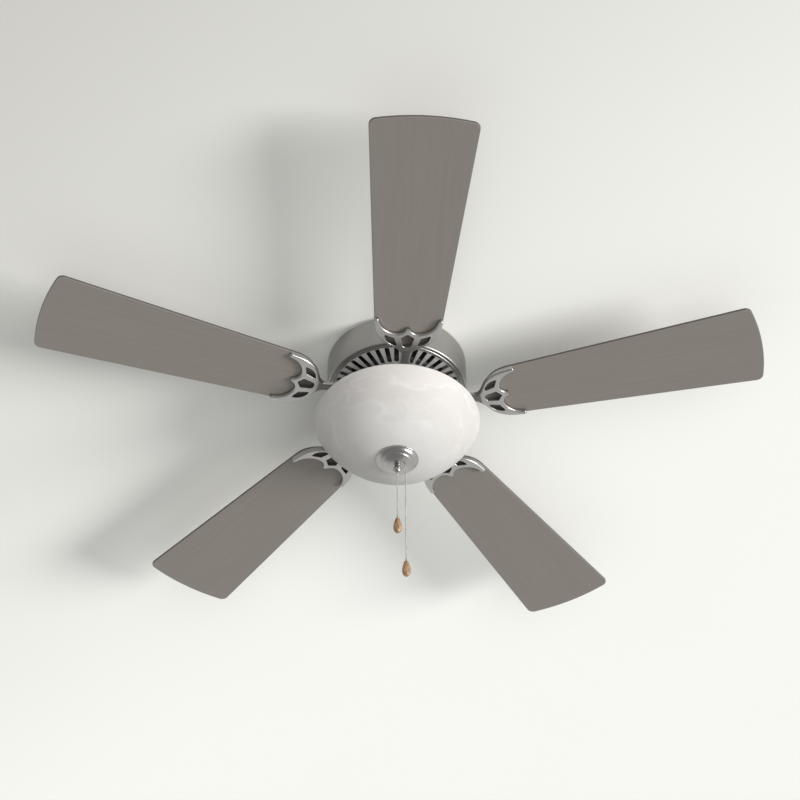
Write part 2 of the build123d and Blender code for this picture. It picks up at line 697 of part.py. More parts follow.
# Switch housing: a cup on the shaft's end, with the reversing switch in its wall
reverse_level = cup_top - REVERSE_DROP
reverse_slot_level = reverse_level - REVERSE_TRAVEL / 2
reverse_slot_h = REVERSE_H + REVERSE_TRAVEL + 2 * SLIDE
reverse_slot_w = REVERSE_W + 2 * SLIDE
fitter_screw_level = pan_top + FITTER_SCREW_RISE
fitter_screw_places = round_the_axis(FITTER_SCREW_COUNT, FITTER_SCREW_TURN, CUP_R, fitter_screw_level)
with BuildPart() as switch_housing:
    with BuildSketch(Plane.XY.offset(cup_top)):
        Circle(CUP_R)
    extrude(amount=-CUP_H)
    fillet(switch_housing.edges().group_by(Axis.Z)[-1], CUP_EDGE_R)
    offset(amount=-CUP_WALL, openings=switch_housing.faces().sort_by(Axis.Z)[0])
    Hole(SHAFT_R + FIT)
    with Locations((0, -CUP_R, reverse_slot_level)):
        Box(reverse_slot_w, 4 * CUP_WALL, reverse_slot_h, mode=Mode.SUBTRACT)
    with Locations(*fitter_screw_places):
        Hole(SCREW_R + FIT, depth=2 * CUP_WALL)
save(switch_housing.part, "switch_housing")

# Reversing switch: its front lies against the cup's wall
reverse_front = -sqrt((cup_in_r - FIT) ** 2 - (REVERSE_BODY_W / 2) ** 2)
with BuildPart() as reverse_switch:
    with Locations((0, reverse_front, reverse_slot_level)):
        Box(REVERSE_BODY_W, REVERSE_BODY_D, REVERSE_BODY_H, align=(Align.CENTER, Align.MIN, Align.CENTER))
    with Locations((0, reverse_front, reverse_slot_level)):
        Box(reverse_slot_w, 2 * (REVERSE_TAIL + SLIDE), reverse_slot_h, mode=Mode.SUBTRACT)
save(reverse_switch.part, "reverse_switch")

with BuildPart() as reverse_slider:
    with Locations((0, -CUP_R - REVERSE_STAND, reverse_level)):
        Box(
            REVERSE_W,
            CUP_R + REVERSE_STAND + reverse_front + REVERSE_TAIL,
            REVERSE_H,
            align=(Align.CENTER, Align.MIN, Align.CENTER),
        )
    fillet(reverse_slider.faces().sort_by(Axis.Y)[0].edges(), REVERSE_STAND / 4)
save(reverse_slider.part, "reverse_slider")

# Pull switches and the motor's capacitor, on the fitter pan inside the cup
rod_top = pan_top + ROD_NUT_H
fan_bushing_l = ROD_NUT_H / 2


def pull_switch(size, middle, base, spot, bushing_l):
    """A switch block that stands on base, with a bushing below it for its chain."""
    with BuildPart() as block:
        with Locations((*middle, base)):
            Box(*size, align=(Align.CENTER, Align.CENTER, Align.MIN))
        fillet(block.edges().filter_by(Axis.Z), BLOCK_EDGE_R)
        with Locations((*spot, base)):
            Cylinder(BUSHING_R, bushing_l, align=(Align.CENTER, Align.CENTER, Align.MAX))
            Cylinder(BUSHING_BORE_R, 2 * BUSHING_L + bushing_l, mode=Mode.SUBTRACT)
    return block


fan_switch = pull_switch(
    FAN_SWITCH_SIZE, (FAN_SWITCH_X, 0), rod_top + fan_bushing_l, (0, 0), fan_bushing_l
)
save(fan_switch.part, "fan_switch")

light_switch = pull_switch(
    LIGHT_SWITCH_SIZE, (LIGHT_SWITCH_X, LIGHT_CHAIN_SPOT[1]), pan_top, LIGHT_CHAIN_SPOT, BUSHING_L
)
save(light_switch.part, "light_switch")

with BuildPart() as capacitor:
    with Locations((0, CAPACITOR_Y, pan_top)):
        Box(*CAPACITOR_SIZE, align=(Align.CENTER, Align.CENTER, Align.MIN))
    fillet(capacitor.edges().filter_by(Axis.Z), BLOCK_EDGE_R)
save(capacitor.part, "capacitor")

# Fitter pan: closes the bowl and carries the lamps
pan_rim_top = pan_top - PAN_FALL
lamp_turns = [Rot(0, 0, LAMP_TURN + 360 / LAMPS * k) for k in range(LAMPS)]
rivet_places = [turn * Pos(RIVET_RING_R, 0, pan_under) for turn in lamp_turns]
with BuildPart() as fitter_pan:
    with BuildSketch(Plane.XZ):
        with BuildLine():
            Polyline(
                (ROD_R + FIT, pan_top),
                (collar_r - PAN_T, pan_top),
                (collar_r - PAN_T, pan_top + PAN_COLLAR_H),
                (collar_r, pan_top + PAN_COLLAR_H),
                (collar_r, pan_top),
                (pan_fall_r, pan_top),
                (pan_flat_r, pan_rim_top),
                (pan_r, pan_rim_top),
                (pan_r, pan_rim_top - PAN_T),
                (pan_flat_r, pan_rim_top - PAN_T),
                (pan_fall_r, pan_under),
                (ROD_R + FIT, pan_under),
                close=True,
            )
        make_face()
    revolve(axis=Axis.Z)
    with Locations((*LIGHT_CHAIN_SPOT, pan_top)):
        Cylinder(BUSHING_R + FIT, 4 * PAN_T, mode=Mode.SUBTRACT)
    with Locations(*rivet_places):
        Cylinder(RIVET_R + FIT, 4 * PAN_T, mode=Mode.SUBTRACT)
    with Locations(*fitter_screw_places):
        Hole(SCREW_R + FIT, depth=4 * PAN_T)
save(fitter_pan.part, "fitter_pan")

with BuildPart() as fitter_screws:
    with Locations(*fitter_screw_places):
        add(screw(SCREW_R, FITTER_SCREW_L, SCREW_HEAD_R, SCREW_HEAD_H))
save(fitter_screws.part, "fitter_screws")

with BuildPart() as bowl_gasket:
    with BuildSketch(Plane.XY.offset(rim_top)):
        Circle(pan_r)
        Circle(pan_r - GASKET_W, mode=Mode.SUBTRACT)
    extrude(amount=GASKET_T)
save(bowl_gasket.part, "bowl_gasket")

# Lamp brackets, holders, caps and bulbs
bracket_h = LAMP_DROP + BRACKET_RISE
with BuildPart() as bracket:
    with Locations((BRACKET_R, 0, pan_under)):
        Box(BRACKET_T, BRACKET_W, bracket_h, align=(Align.MIN, Align.CENTER, Align.MAX))
        Box(BRACKET_FOOT + BRACKET_T, BRACKET_W / 2, BRACKET_T, align=(Align.MIN, Align.CENTER, Align.MAX))
    fillet(bracket.edges().filter_by(Axis.X).group_by(Axis.Z)[0], BRACKET_W / 4)
    with Locations((RIVET_RING_R, 0, pan_under)):
        Cylinder(RIVET_R + FIT, 4 * BRACKET_T, mode=Mode.SUBTRACT)
with BuildPart() as lamp_brackets:
    with Locations(*lamp_turns):
        add(bracket.part)
save(lamp_brackets.part, "lamp_brackets")

with BuildPart() as bracket_rivets:
    for place in rivet_places:
        with Locations(place):
            Cylinder(RIVET_R, PAN_T, align=(Align.CENTER, Align.CENTER, Align.MIN))
            Cylinder(RIVET_R, BRACKET_T, align=(Align.CENTER, Align.CENTER, Align.MAX))
        with Locations(place * Pos(0, 0, PAN_T)):
            Cylinder(RIVET_HEAD_R, RIVET_HEAD_H, align=(Align.CENTER, Align.CENTER, Align.MIN))
        with Locations(place * Pos(0, 0, -BRACKET_T)):
            Cylinder(RIVET_HEAD_R, RIVET_HEAD_H, align=(Align.CENTER, Align.CENTER, Align.MAX))
save(bracket_rivets.part, "bracket_rivets")

holder_r = BRACKET_R + BRACKET_T
cap_bore_r = LAMP_CAP_R + LAMP_CAP_ROOM
with BuildPart() as lamp_holders:
    with Locations(*round_the_axis(LAMPS, LAMP_TURN, holder_r, lamp_level)):
        Cylinder(HOLDER_R, HOLDER_L, align=(Align.CENTER, Align.CENTER, Align.MIN))
    with Locations(*round_the_axis(LAMPS, LAMP_TURN, holder_r + HOLDER_FLOOR, lamp_level)):
        Cylinder(cap_bore_r, HOLDER_L, align=(Align.CENTER, Align.CENTER, Align.MIN), mode=Mode.SUBTRACT)
save(lamp_holders.part, "lamp_holders")

cap_start_r = holder_r + HOLDER_FLOOR + FIT
bulb_start_r = cap_start_r + LAMP_CAP_L
with BuildPart() as lamp_caps:
    with Locations(*round_the_axis(LAMPS, LAMP_TURN, cap_start_r, lamp_level)):
        Cylinder(LAMP_CAP_R, LAMP_CAP_L, align=(Align.CENTER, Align.CENTER, Align.MIN))
save(lamp_caps.part, "lamp_caps")

with BuildPart() as bulb:
    with BuildSketch(Plane.XZ):
        with BuildLine():
            flank = Spline(
                (LAMP_CAP_R, 0), (bulb_r, bulb_l * 0.45), (0, bulb_l), tangents=((0.3, 1), (-1, 0))
            )
            Polyline(flank @ 1, (0, 0), flank @ 0)
        make_face()
    revolve(axis=Axis.Z)
with BuildPart() as bulbs:
    with Locations(*round_the_axis(LAMPS, LAMP_TURN, bulb_start_r, lamp_level)):
        add(bulb.part)
save(bulbs.part, "bulbs")

# Glass bowl
bowl_in_r = bowl_ball_r - BOWL_T
lip_under = rim_top - BOWL_RIM_H
bowl_mid_r = BOWL_R / 2
with BuildPart() as glass_bowl:
    with BuildSketch(Plane.XZ):
        with BuildLine():
            outside = ThreePointArc(
                (BOWL_R, rim_top),
                (bowl_mid_r, sphere_level(bowl_ball_r, bowl_mid_r)),
                (BOWL_HOLE_R, sphere_level(bowl_ball_r, BOWL_HOLE_R)),
            )
            inside = ThreePointArc(
                (BOWL_HOLE_R, sphere_level(bowl_in_r, BOWL_HOLE_R)),
                (bowl_mid_r, sphere_level(bowl_in_r, bowl_mid_r)),
                (sqrt(bowl_in_r**2 - (bowl_centre - lip_under) ** 2), lip_under),
            )
            Line(outside @ 1, inside @ 0)
            Polyline(inside @ 1, (BOWL_R - BOWL_RIM_W, rim_top), outside @ 0)
        make_face()
    revolve(axis=Axis.Z)
save(glass_bowl.part, "glass_bowl")

# Finial: a washer under a stepped cap, drawn up by a knob on the centre rod
washer_ball_r = bowl_ball_r + CAP_WASHER_T
washer_mid_r = (CAP_WASHER_IN_R + CAP_WASHER_OUT_R) / 2
cap_rim = sphere_level(bowl_ball_r, CAP_R) - CAP_RIM_DROP
cap_step = cap_rim - CAP_BOWL_H
cap_dome = cap_step - CAP_STEP_H
cap_under = cap_dome - CAP_DOME_H
cap_hole_r = ROD_R + FIT
dome_r = CAP_STEP_R - CAP_STEP_H / 2


def on_washer(radius):
    """Points of an arc across the cap's washer, on a sphere of that radius."""
    return [(r, sphere_level(radius, r)) for r in (CAP_WASHER_IN_R, washer_mid_r, CAP_WASHER_OUT_R)]


with BuildPart() as cap_washer:
    with BuildSketch(Plane.XZ):
        with BuildLine():
            upper = ThreePointArc(*on_washer(bowl_ball_r + FIT))
            lower = ThreePointArc(*on_washer(washer_ball_r))
            Line(upper @ 0, lower @ 0)
            Line(upper @ 1, lower @ 1)
        make_face()
    revolve(axis=Axis.Z)
save(cap_washer.part, "cap_washer")

with BuildPart() as finial_cap:
    with BuildSketch(Plane.XZ):
        with BuildLine():
            seat = ThreePointArc(*on_washer(washer_ball_r))
            edge = Line((CAP_R, cap_rim), (CAP_R, cap_rim - CAP_RIM_DROP))
            Line(seat @ 1, edge @ 0)
            shoulder = ThreePointArc(
                edge @ 1, (CAP_R - CAP_CROWN, cap_rim - CAP_BOWL_H * 0.72), (CAP_STEP_R, cap_step)
            )
            step = Line(shoulder @ 1, (dome_r, cap_dome))
            dome = TangentArc((KNOB_COLLAR_R + SLIP, cap_under), step @ 1, tangent=(1, 0))
            hollow = TangentArc(
                (cap_hole_r, cap_under + CAP_WALL), (dome_r - CAP_WALL, cap_step), tangent=(1, 0)
            )
            Polyline(dome @ 0, (cap_hole_r, cap_under), hollow @ 0)
            Line(hollow @ 1, seat @ 0)
        make_face()
    revolve(axis=Axis.Z)
    with Locations((*LIGHT_CHAIN_SPOT, cap_under)):
        Cylinder(CHAIN_HOLE_R, 4 * CAP_DOME_H, mode=Mode.SUBTRACT)
save(finial_cap.part, "finial_cap")

knob_centre = cap_under - KNOB_DROP
knob_under = knob_centre - sqrt(KNOB_R**2 - CHAIN_HOLE_R**2)
stem_r = ROD_BORE_R - FIT
with BuildPart() as finial_knob:
    with BuildSketch(Plane.XZ):
        with BuildLine():
            ball = ThreePointArc(
                (KNOB_NECK_R, knob_centre + sqrt(KNOB_R**2 - KNOB_NECK_R**2)),
                (KNOB_R, knob_centre),
                (CHAIN_HOLE_R, knob_under),
            )
            Polyline(
                ball @ 1,
                (CHAIN_HOLE_R, cap_under + KNOB_STEM_L),
                (stem_r, cap_under + KNOB_STEM_L),
                (stem_r, cap_under),
                (KNOB_COLLAR_R, cap_under),
                (KNOB_COLLAR_R, cap_under - KNOB_COLLAR_H),
                (KNOB_NECK_R, cap_under - KNOB_COLLAR_H),
                ball @ 0,
            )
        make_face()
    revolve(axis=Axis.Z)
save(finial_knob.part, "finial_knob")

with BuildPart() as centre_rod:
    with BuildSketch(Plane.XY.offset(rod_top)):
        Circle(ROD_R)
        Circle(ROD_BORE_R, mode=Mode.SUBTRACT)
    extrude(amount=cap_under - rod_top)
save(centre_rod.part, "centre_rod")

with BuildPart() as rod_nuts:
    for level in (pan_top, pan_under - ROD_NUT_H):
        with BuildSketch(Plane.XY.offset(level)):
            RegularPolygon(ROD_NUT_FLATS / 2, 6, major_radius=False, rotation=30)
            Circle(ROD_R + FIT, mode=Mode.SUBTRACT)
        extrude(amount=ROD_NUT_H)
save(rod_nuts.part, "rod_nuts")


# Pull chains: a stretch inside the light, the hanging stretch, a metal end link and a wooden pull
def pull_chain(name, spot, top, leaves, length):
    with BuildPart() as inner_chain:
        with Locations((*spot, leaves)):
            Cylinder(CHAIN_R, top - leaves, align=(Align.CENTER, Align.CENTER, Align.MIN))
    save(inner_chain.part, f"{name}_chain_inside")
    with BuildPart() as chain:
        with Locations((*spot, leaves)):
            Cylinder(CHAIN_R, length, align=(Align.CENTER, Align.CENTER, Align.MAX))
    save(chain.part, f"{name}_chain")
    link_top = leaves - length
    with BuildPart() as link:
        with Locations((*spot, link_top)):
            Cylinder(LINK_R, LINK_H, align=(Align.CENTER, Align.CENTER, Align.MAX))
        fillet(link.edges().group_by(Axis.Z)[-1], LINK_R / 2)
    save(link.part, f"{name}_chain_link")
    with BuildPart() as pull:
        with BuildSketch(Plane.XZ):
            with BuildLine():
                side = Spline(
                    (PULL_TOP_R, 0),
                    (PULL_R, -PULL_WAIST * PULL_L),
                    (0, -PULL_L),
                    tangents=((0.1, -1), (-1, 0)),
                )
                Polyline(side @ 1, (0, 0), side @ 0)
            make_face()
        revolve(axis=Axis.Z)
    save(Pos(*spot, link_top - LINK_H) * pull.part, f"{name}_pull")


pull_chain("fan", (0, 0), rod_top + fan_bushing_l + BUSHING_L / 2, knob_under, FAN_CHAIN_L)
pull_chain("light", LIGHT_CHAIN_SPOT, pan_top + BUSHING_L / 2, cap_under, LIGHT_CHAIN_L)
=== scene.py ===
import json
from math import cos, degrees, pi, radians, sin, tau

import bmesh
import bpy
from mathutils import Matrix, Quaternion, Vector


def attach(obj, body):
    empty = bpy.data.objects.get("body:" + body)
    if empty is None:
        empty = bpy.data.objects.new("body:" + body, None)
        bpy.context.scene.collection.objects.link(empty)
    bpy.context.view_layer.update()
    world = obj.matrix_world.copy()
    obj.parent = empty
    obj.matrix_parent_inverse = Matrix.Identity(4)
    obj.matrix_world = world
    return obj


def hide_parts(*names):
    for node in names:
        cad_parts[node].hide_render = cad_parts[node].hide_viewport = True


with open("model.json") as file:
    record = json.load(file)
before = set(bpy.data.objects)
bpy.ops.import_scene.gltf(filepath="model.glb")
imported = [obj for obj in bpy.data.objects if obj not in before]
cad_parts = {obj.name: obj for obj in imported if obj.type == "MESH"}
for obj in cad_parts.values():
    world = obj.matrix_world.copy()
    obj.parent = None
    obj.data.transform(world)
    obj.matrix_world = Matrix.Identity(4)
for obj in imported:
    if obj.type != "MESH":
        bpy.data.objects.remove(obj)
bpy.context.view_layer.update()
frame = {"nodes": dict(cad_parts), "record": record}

# Ceiling: flat plaster, painted white, with the fan screwed tight under it. A round hole behind the fan's
# plate lets light reach the plate's back. From above the paint is clear, so the fan shows through it.
# Its colour holds painted light: greyer towards one corner, and whiter towards the other and far out.
MM = 0.001
CEILING_LEVEL = 0.6
CEILING_HOLE_R = 125.4
CEILING_R = 9000.0
CEILING_STEPS = 128
CEILING_WHITE = (0.935, 0.942, 0.912, 1)
CEILING_PAINTED_SHADE = (0.545, 0.547, 0.510, 1)
PAINTED_LIGHT_WAY = (0.751, 0.798, 0.0)
PAINTED_LIGHT_FROM = -1.75
PAINTED_LIGHT_TO = 0.75
PAINTED_LIGHT_FAR_R = (1.8, 4.5)


class Signal:
    """An output of a shader node. Arithmetic on signals adds Math nodes."""

    def __init__(self, finish, socket):
        self.finish = finish
        self.socket = socket

    def maths(self, operation, first, second):
        return self.finish.node("ShaderNodeMath", {"operation": operation}, {0: first, 1: second})

    def __add__(self, other):
        return self.maths("ADD", self, other)

    def __radd__(self, other):
        return self.maths("ADD", other, self)

    def __sub__(self, other):
        return self.maths("SUBTRACT", self, other)

    def __rsub__(self, other):
        return self.maths("SUBTRACT", other, self)

    def __mul__(self, other):
        return self.maths("MULTIPLY", self, other)

    def __rmul__(self, other):
        return self.maths("MULTIPLY", other, self)

    def __abs__(self):
        return self.finish.node("ShaderNodeMath", {"operation": "ABSOLUTE"}, {0: self})

    def wave(self, per_metre):
        """A sine wave along a length, with that many crests in a metre."""
        return self.finish.node("ShaderNodeMath", {"operation": "SINE"}, {0: self * (tau * per_metre)})

    def between(self, low, high):
        """0 below low, 1 above high and a smooth step between them."""
        step = {"interpolation_type": "SMOOTHSTEP"}
        return self.finish.node("ShaderNodeMapRange", step, {0: self, 1: low, 2: high})


class Finish:
    """The node tree of a material or of the room's light, and one way to add a node to it."""

    def __init__(self, owner, look=None):
        self.owner = owner
        owner.use_nodes = True
        self.tree = owner.node_tree
        self.shader = next(node for node in self.tree.nodes if "Output" not in node.bl_idname)
        for socket, value in (look or {}).items():
            self.shader.inputs[socket].default_value = value

    def node(self, kind, settings=None, sockets=None, output=0):
        """Adds a node with its settings and the values or links of its sockets, and gives one output."""
        made = self.tree.nodes.new(kind)
        for name, value in (settings or {}).items():
            setattr(made, name, value)
        for key, value in (sockets or {}).items():
            if isinstance(value, Signal):
                self.tree.links.new(value.socket, made.inputs[key])
            else:
                made.inputs[key].default_value = value
        return Signal(self, made.outputs[output])

    def feed(self, **signals):
        """Signals into the shader's sockets, with an underscore for a space."""
        for socket, signal in signals.items():
            self.tree.links.new(signal.socket, self.shader.inputs[socket.replace("_", " ")])

    def place(self, scale=(1, 1, 1), turn=0.0, shift=(0, 0, 0)):
        """A point of the piece, turned about the fan's axis, shifted and then scaled along each axis."""
        spot = self.node("ShaderNodeTexCoord", output="Object")
        laid = {"Vector": spot, "Rotation": (0, 0, radians(turn)), "Location": shift}
        return self.vector("MULTIPLY", self.node("ShaderNodeMapping", {}, laid), scale)

    def vector(self, operation, *sockets, output=0):
        """A Vector Math node."""
        return self.node("ShaderNodeVectorMath", {"operation": operation}, dict(enumerate(sockets)), output)

    def noise(self, where, scale, detail, rough=0.5, warp=0.0):
        """A cloudy pattern from 0 to 1."""
        sockets = {"Vector": where, "Scale": scale, "Detail": detail}
        sockets |= {"Roughness": rough, "Distortion": warp}
        return self.node("ShaderNodeTexNoise", {}, sockets)

    def blend(self, share, first, second):
        """A colour between two others."""
        return self.node("ShaderNodeMix", {"data_type": "RGBA"}, {0: share, 6: first, 7: second}, output=2)

    def relief(self, height, depth, strength=1.0):
        """A bump of that depth in metres into the surface's normal."""
        sockets = {"Strength": strength, "Distance": depth, "Height": height}
        self.feed(Normal=self.node("ShaderNodeBump", {}, sockets))


def new_finish(name, look):
    """A new material, with the fixed values of its shader's sockets."""
    return Finish(bpy.data.materials.new(name), look)


ceiling_paint = new_finish("ceiling_paint", {"Roughness": 0.85, "Specular IOR Level": 0.2})
# Painted light and shade: the paint greys towards one corner and whitens towards the other and far from the
# fan, in place of the light's fall across the ceiling.
painted_light_slope = ceiling_paint.vector("DOT_PRODUCT", ceiling_paint.place(), PAINTED_LIGHT_WAY, output="Value")
off_axis = ceiling_paint.vector("LENGTH", ceiling_paint.place(), output="Value")
mottle = (ceiling_paint.noise(ceiling_paint.place(), scale=2.2, detail=1.0) - 0.5) * 0.04
painted_light_share = painted_light_slope.between(PAINTED_LIGHT_FROM, PAINTED_LIGHT_TO) + mottle + off_axis.between(*PAINTED_LIGHT_FAR_R)
ceiling_paint.feed(Base_Color=ceiling_paint.blend(painted_light_share, CEILING_PAINTED_SHADE, CEILING_WHITE))
stipple = ceiling_paint.noise(ceiling_paint.place(), scale=420.0, detail=2.0)
ceiling_paint.relief(stipple, depth=0.0001, strength=0.3)
seen_from_above = ceiling_paint.node("ShaderNodeNewGeometry", output="Backfacing")
clear = ceiling_paint.node("ShaderNodeBsdfTransparent")
painted = Signal(ceiling_paint, ceiling_paint.shader.outputs[0])
surface = ceiling_paint.node("ShaderNodeMixShader", {}, {0: seen_from_above, 1: painted, 2: clear})
ceiling_paint.tree.links.new(surface.socket, ceiling_paint.tree.nodes["Material Output"].inputs[0])

bpy.ops.object.select_all(action="DESELECT")
bpy.ops.mesh.primitive_circle_add(vertices=CEILING_STEPS, radius=CEILING_HOLE_R * MM,
                                  location=(0, 0, CEILING_LEVEL * MM))
ceiling = bpy.context.object
ceiling.name = "ceiling"
bpy.ops.object.mode_set(mode="EDIT")
bpy.ops.mesh.extrude_edges_move()
bpy.ops.transform.resize(value=(CEILING_R / CEILING_HOLE_R, CEILING_R / CEILING_HOLE_R, 1))
bpy.ops.object.mode_set(mode="OBJECT")
if ceiling.data.polygons[0].normal.z > 0:
    ceiling.data.flip_normals()
ceiling.data.materials.append(ceiling_paint.owner)

# Light: a soft lamp low on the right, which throws the blades' shadows to the left along the ceiling, and a
# weaker, wider one in front, which leaves no highlights. A pale room fills the rest, and metal shows it
# with its dim side below the fan.
KEY_SIDE = (0.84, -0.38, -0.38)
KEY_STRENGTH = 3.3
KEY_SPREAD = 20.0
FRONT_SIDE = (0.18, -0.74, -0.62)
FRONT_STRENGTH = 1.1
FRONT_SPREAD = 45.0
LAMP_WHITE = (1.0, 0.99, 0.97)
ROOM_FILL = (0.39, 0.39, 0.387, 1)
ROOM_PALE = (0.88, 0.88, 0.865, 1)
ROOM_DIM = (0.33, 0.326, 0.320, 1)
ROOM_DIM_SIDE = (-0.35, -0.40, -0.85)
ROOM_DIM_EDGE = (0.42, 0.66)


def soft_lamp(name, side, strength, spread):
    """A lamp far away on one side of the fan, as wide as its spread in degrees."""
    light = bpy.data.lights.new(name, "SUN")
    light.energy = strength
    light.angle = radians(spread)
    light.color = LAMP_WHITE
    lamp = bpy.data.objects.new(name, light)
    lamp.rotation_euler = (-Vector(side)).to_track_quat("-Z", "Y").to_euler()
    bpy.context.collection.objects.link(lamp)
    return lamp


soft_lamp("key_lamp", KEY_SIDE, KEY_STRENGTH, KEY_SPREAD)
front_lamp = soft_lamp("front_lamp", FRONT_SIDE, FRONT_STRENGTH, FRONT_SPREAD)
front_lamp.visible_glossy = False

room = Finish(bpy.data.worlds.new("room"))
looking = room.node("ShaderNodeTexCoord", output="Generated")
dim = room.vector("DOT_PRODUCT", looking, ROOM_DIM_SIDE, output="Value").between(*ROOM_DIM_EDGE)


def is_ray(kind):
    """1 for rays of that kind and 0 for all others."""
    return room.node("ShaderNodeLightPath", output=f"Is {kind} Ray")


mirrored = room.blend(dim, ROOM_PALE, ROOM_DIM)
shown = room.blend(is_ray("Glossy") + is_ray("Transmission"), ROOM_FILL, mirrored)
room.feed(Color=room.blend(is_ray("Camera"), shown, ROOM_PALE))
bpy.context.scene.world = room.owner

# Camera: below and in front of the fan, looking up at it with a long lens, from where the photograph was
# taken. The ceiling fills its view, and the fan's axis runs up the middle.
CAMERA_SPOT = (0.0056, -2.563, -2.582)
CAMERA_LOOK = Vector((0.0, 0.717, 0.697))
CAMERA_ROLL = -0.41
CAMERA_LENS = 88.0
CAMERA_SENSOR = 36.0

camera_data = bpy.data.cameras.new("camera")
camera_data.lens = CAMERA_LENS
camera_data.sensor_width = CAMERA_SENSOR
camera = bpy.data.objects.new("camera", camera_data)
camera.location = CAMERA_SPOT
camera.rotation_mode = "QUATERNION"
camera_roll = Quaternion((0, 0, 1), radians(CAMERA_ROLL))
camera.rotation_quaternion = CAMERA_LOOK.to_track_quat("-Z", "Y") @ camera_roll
bpy.context.collection.objects.link(camera)
bpy.context.scene.camera = camera
bpy.context.scene.view_settings.view_transform = "Standard"

# Ceiling plate and motor hanger: pressed steel, zinc plated, screwed to the outlet box and to each other.
# The hollow shaft is pinned in the hanger and carries everything below it.
ZINC = (0.56, 0.56, 0.545, 1)
ZINC_DULL = (0.43, 0.435, 0.43, 1)


def dress(finish, *names):
    """Gives a finish to CAD nodes that keep their shape."""
    for name in names:
        frame["nodes"][name].material_slots[0].material = finish.owner


zinc = new_finish("zinc_plate", {"Metallic": 1.0})
spangle = zinc.node("ShaderNodeTexVoronoi", {}, {"Vector": zinc.place(), "Scale": 190.0}, "Color")
spangle_tone = zinc.node("ShaderNodeSeparateColor", {}, {0: spangle})
haze = zinc.noise(zinc.place(), scale=26.0, detail=3.0)
zinc.feed(Base_Color=zinc.blend(spangle_tone * 0.35 + haze * 0.6, ZINC, ZINC_DULL))
zinc.feed(Roughness=0.30 + spangle_tone * 0.06 + haze * 0.16)
grit = zinc.noise(zinc.place(), scale=900.0, detail=2.0)
zinc.relief(grit, depth=0.00006, strength=0.5)
dress(zinc, "ceiling_plate", "motor_hanger", "hanger_screws", "motor_shaft", "shaft_pin", "shaft_nut")

# Motor: a slotted stack of steel sheets with varnished copper coils on the fixed shaft. A ring of the same
# steel between two aluminium castings turns round it on two ball bearings. The castings are coloured near
# black as painted shade, for the dark inside of the housing seen through the vents.
SHEET_STEEL = (0.17, 0.17, 0.18, 1)
SHEET_SEAM = (0.06, 0.055, 0.055, 1)
SHEETS_PER_M = 2000.0
CAST_PAINTED_SHADE = (0.060, 0.060, 0.059, 1)
CAST_PAINTED_SHADE_DEEP = (0.038, 0.038, 0.038, 1)
COPPER = (0.46, 0.19, 0.075, 1)
COPPER_DARK = (0.22, 0.075, 0.03, 1)
WIRES_PER_M = 1100.0
WIRE_DRIFT = 0.002


def height_of(finish):
    """The height of a point on the piece, in metres."""
    return finish.node("ShaderNodeSeparateXYZ", {}, {0: finish.place()}, "Z")


sheet_steel = new_finish("lamination_steel", {"Metallic": 0.85, "Roughness": 0.5})
sheet_wave = height_of(sheet_steel).wave(SHEETS_PER_M)
sheet_steel.feed(Base_Color=sheet_steel.blend(sheet_wave.between(-0.9, -0.3), SHEET_SEAM, SHEET_STEEL))
sheet_steel.relief(sheet_wave, depth=0.00008)
dress(sheet_steel, "stator_core", "rotor_ring")

# Painted shade: the castings are near black, so that the housing's vents look dark inside.
cast_aluminium = new_finish("cast_aluminium", {"Metallic": 0.3})
sand = cast_aluminium.noise(cast_aluminium.place(), scale=700.0, detail=3.0, rough=0.6)
flow = cast_aluminium.noise(cast_aluminium.place(), scale=22.0, detail=2.0)
cast_tone = flow * 0.7 + sand * 0.3
cast_aluminium.feed(Base_Color=cast_aluminium.blend(cast_tone, CAST_PAINTED_SHADE, CAST_PAINTED_SHADE_DEEP))
cast_aluminium.feed(Roughness=0.46 + sand * 0.14)
cast_aluminium.relief(sand, depth=0.00015, strength=0.6)
dress(cast_aluminium, "rotor_upper_case", "rotor_lower_case")

copper = new_finish("winding_copper", {"Metallic": 0.7, "Roughness": 0.32, "Coat Weight": 0.4})
wire_drift = copper.noise(copper.place(), scale=60.0, detail=1.0)
wire_wave = (height_of(copper) + wire_drift * WIRE_DRIFT).wave(WIRES_PER_M)
copper.feed(Base_Color=copper.blend(wire_wave.between(-1.0, 0.2), COPPER_DARK, COPPER))
copper.relief(wire_wave, depth=0.0002)
dress(copper, "stator_windings")
dress(zinc, "bearing_inner_rings", "bearing_outer_rings", "motor_bolts", "flange_screws")

# Motor housing: a spun steel drum in satin nickel, with a rolled bead at its lower corner and a flat lip
# that carries the vent ring. Three cross-head screws at the top hold it to the ceiling plate.
DRUM_R = 128.0
DRUM_WALL = 1.6
DRUM_TOP = -3.0
DRUM_UNDER = -72.0
DRUM_LIP_R = 117.0
BEAD_R = 2.7
BEAD_SET_IN = 2.2
BEAD_MIDDLE = (DRUM_R - BEAD_SET_IN, DRUM_UNDER + BEAD_R)
GROOVE_IN_R = 121.6
GROOVE_RISE = 1.1
SMALL_SCREW = {"head_r": 4.0, "head_h": 2.4, "shank_r": 2.0}
HOUSING_SCREW_L = 7.0
HOUSING_SCREW_TURNS = (30.0, 150.0, 270.0)
HOUSING_SCREW_LEVEL = -12.0
SCREW_STEPS = 28
SAME_SPOT = 0.002
ROUNDING_STEPS = 5
SMOOTH_BELOW = 32.0
BRUSH_LINES_PER_M = 1500.0
BLAST_PITS_PER_M = 1500.0
CAST_NICKEL = (0.45, 0.442, 0.432, 1)
CAST_NICKEL_SHADE = (0.405, 0.398, 0.389, 1)
DRUM_NICKEL = (0.395, 0.389, 0.380, 1)
DRUM_NICKEL_SHADE = (0.355, 0.350, 0.341, 1)
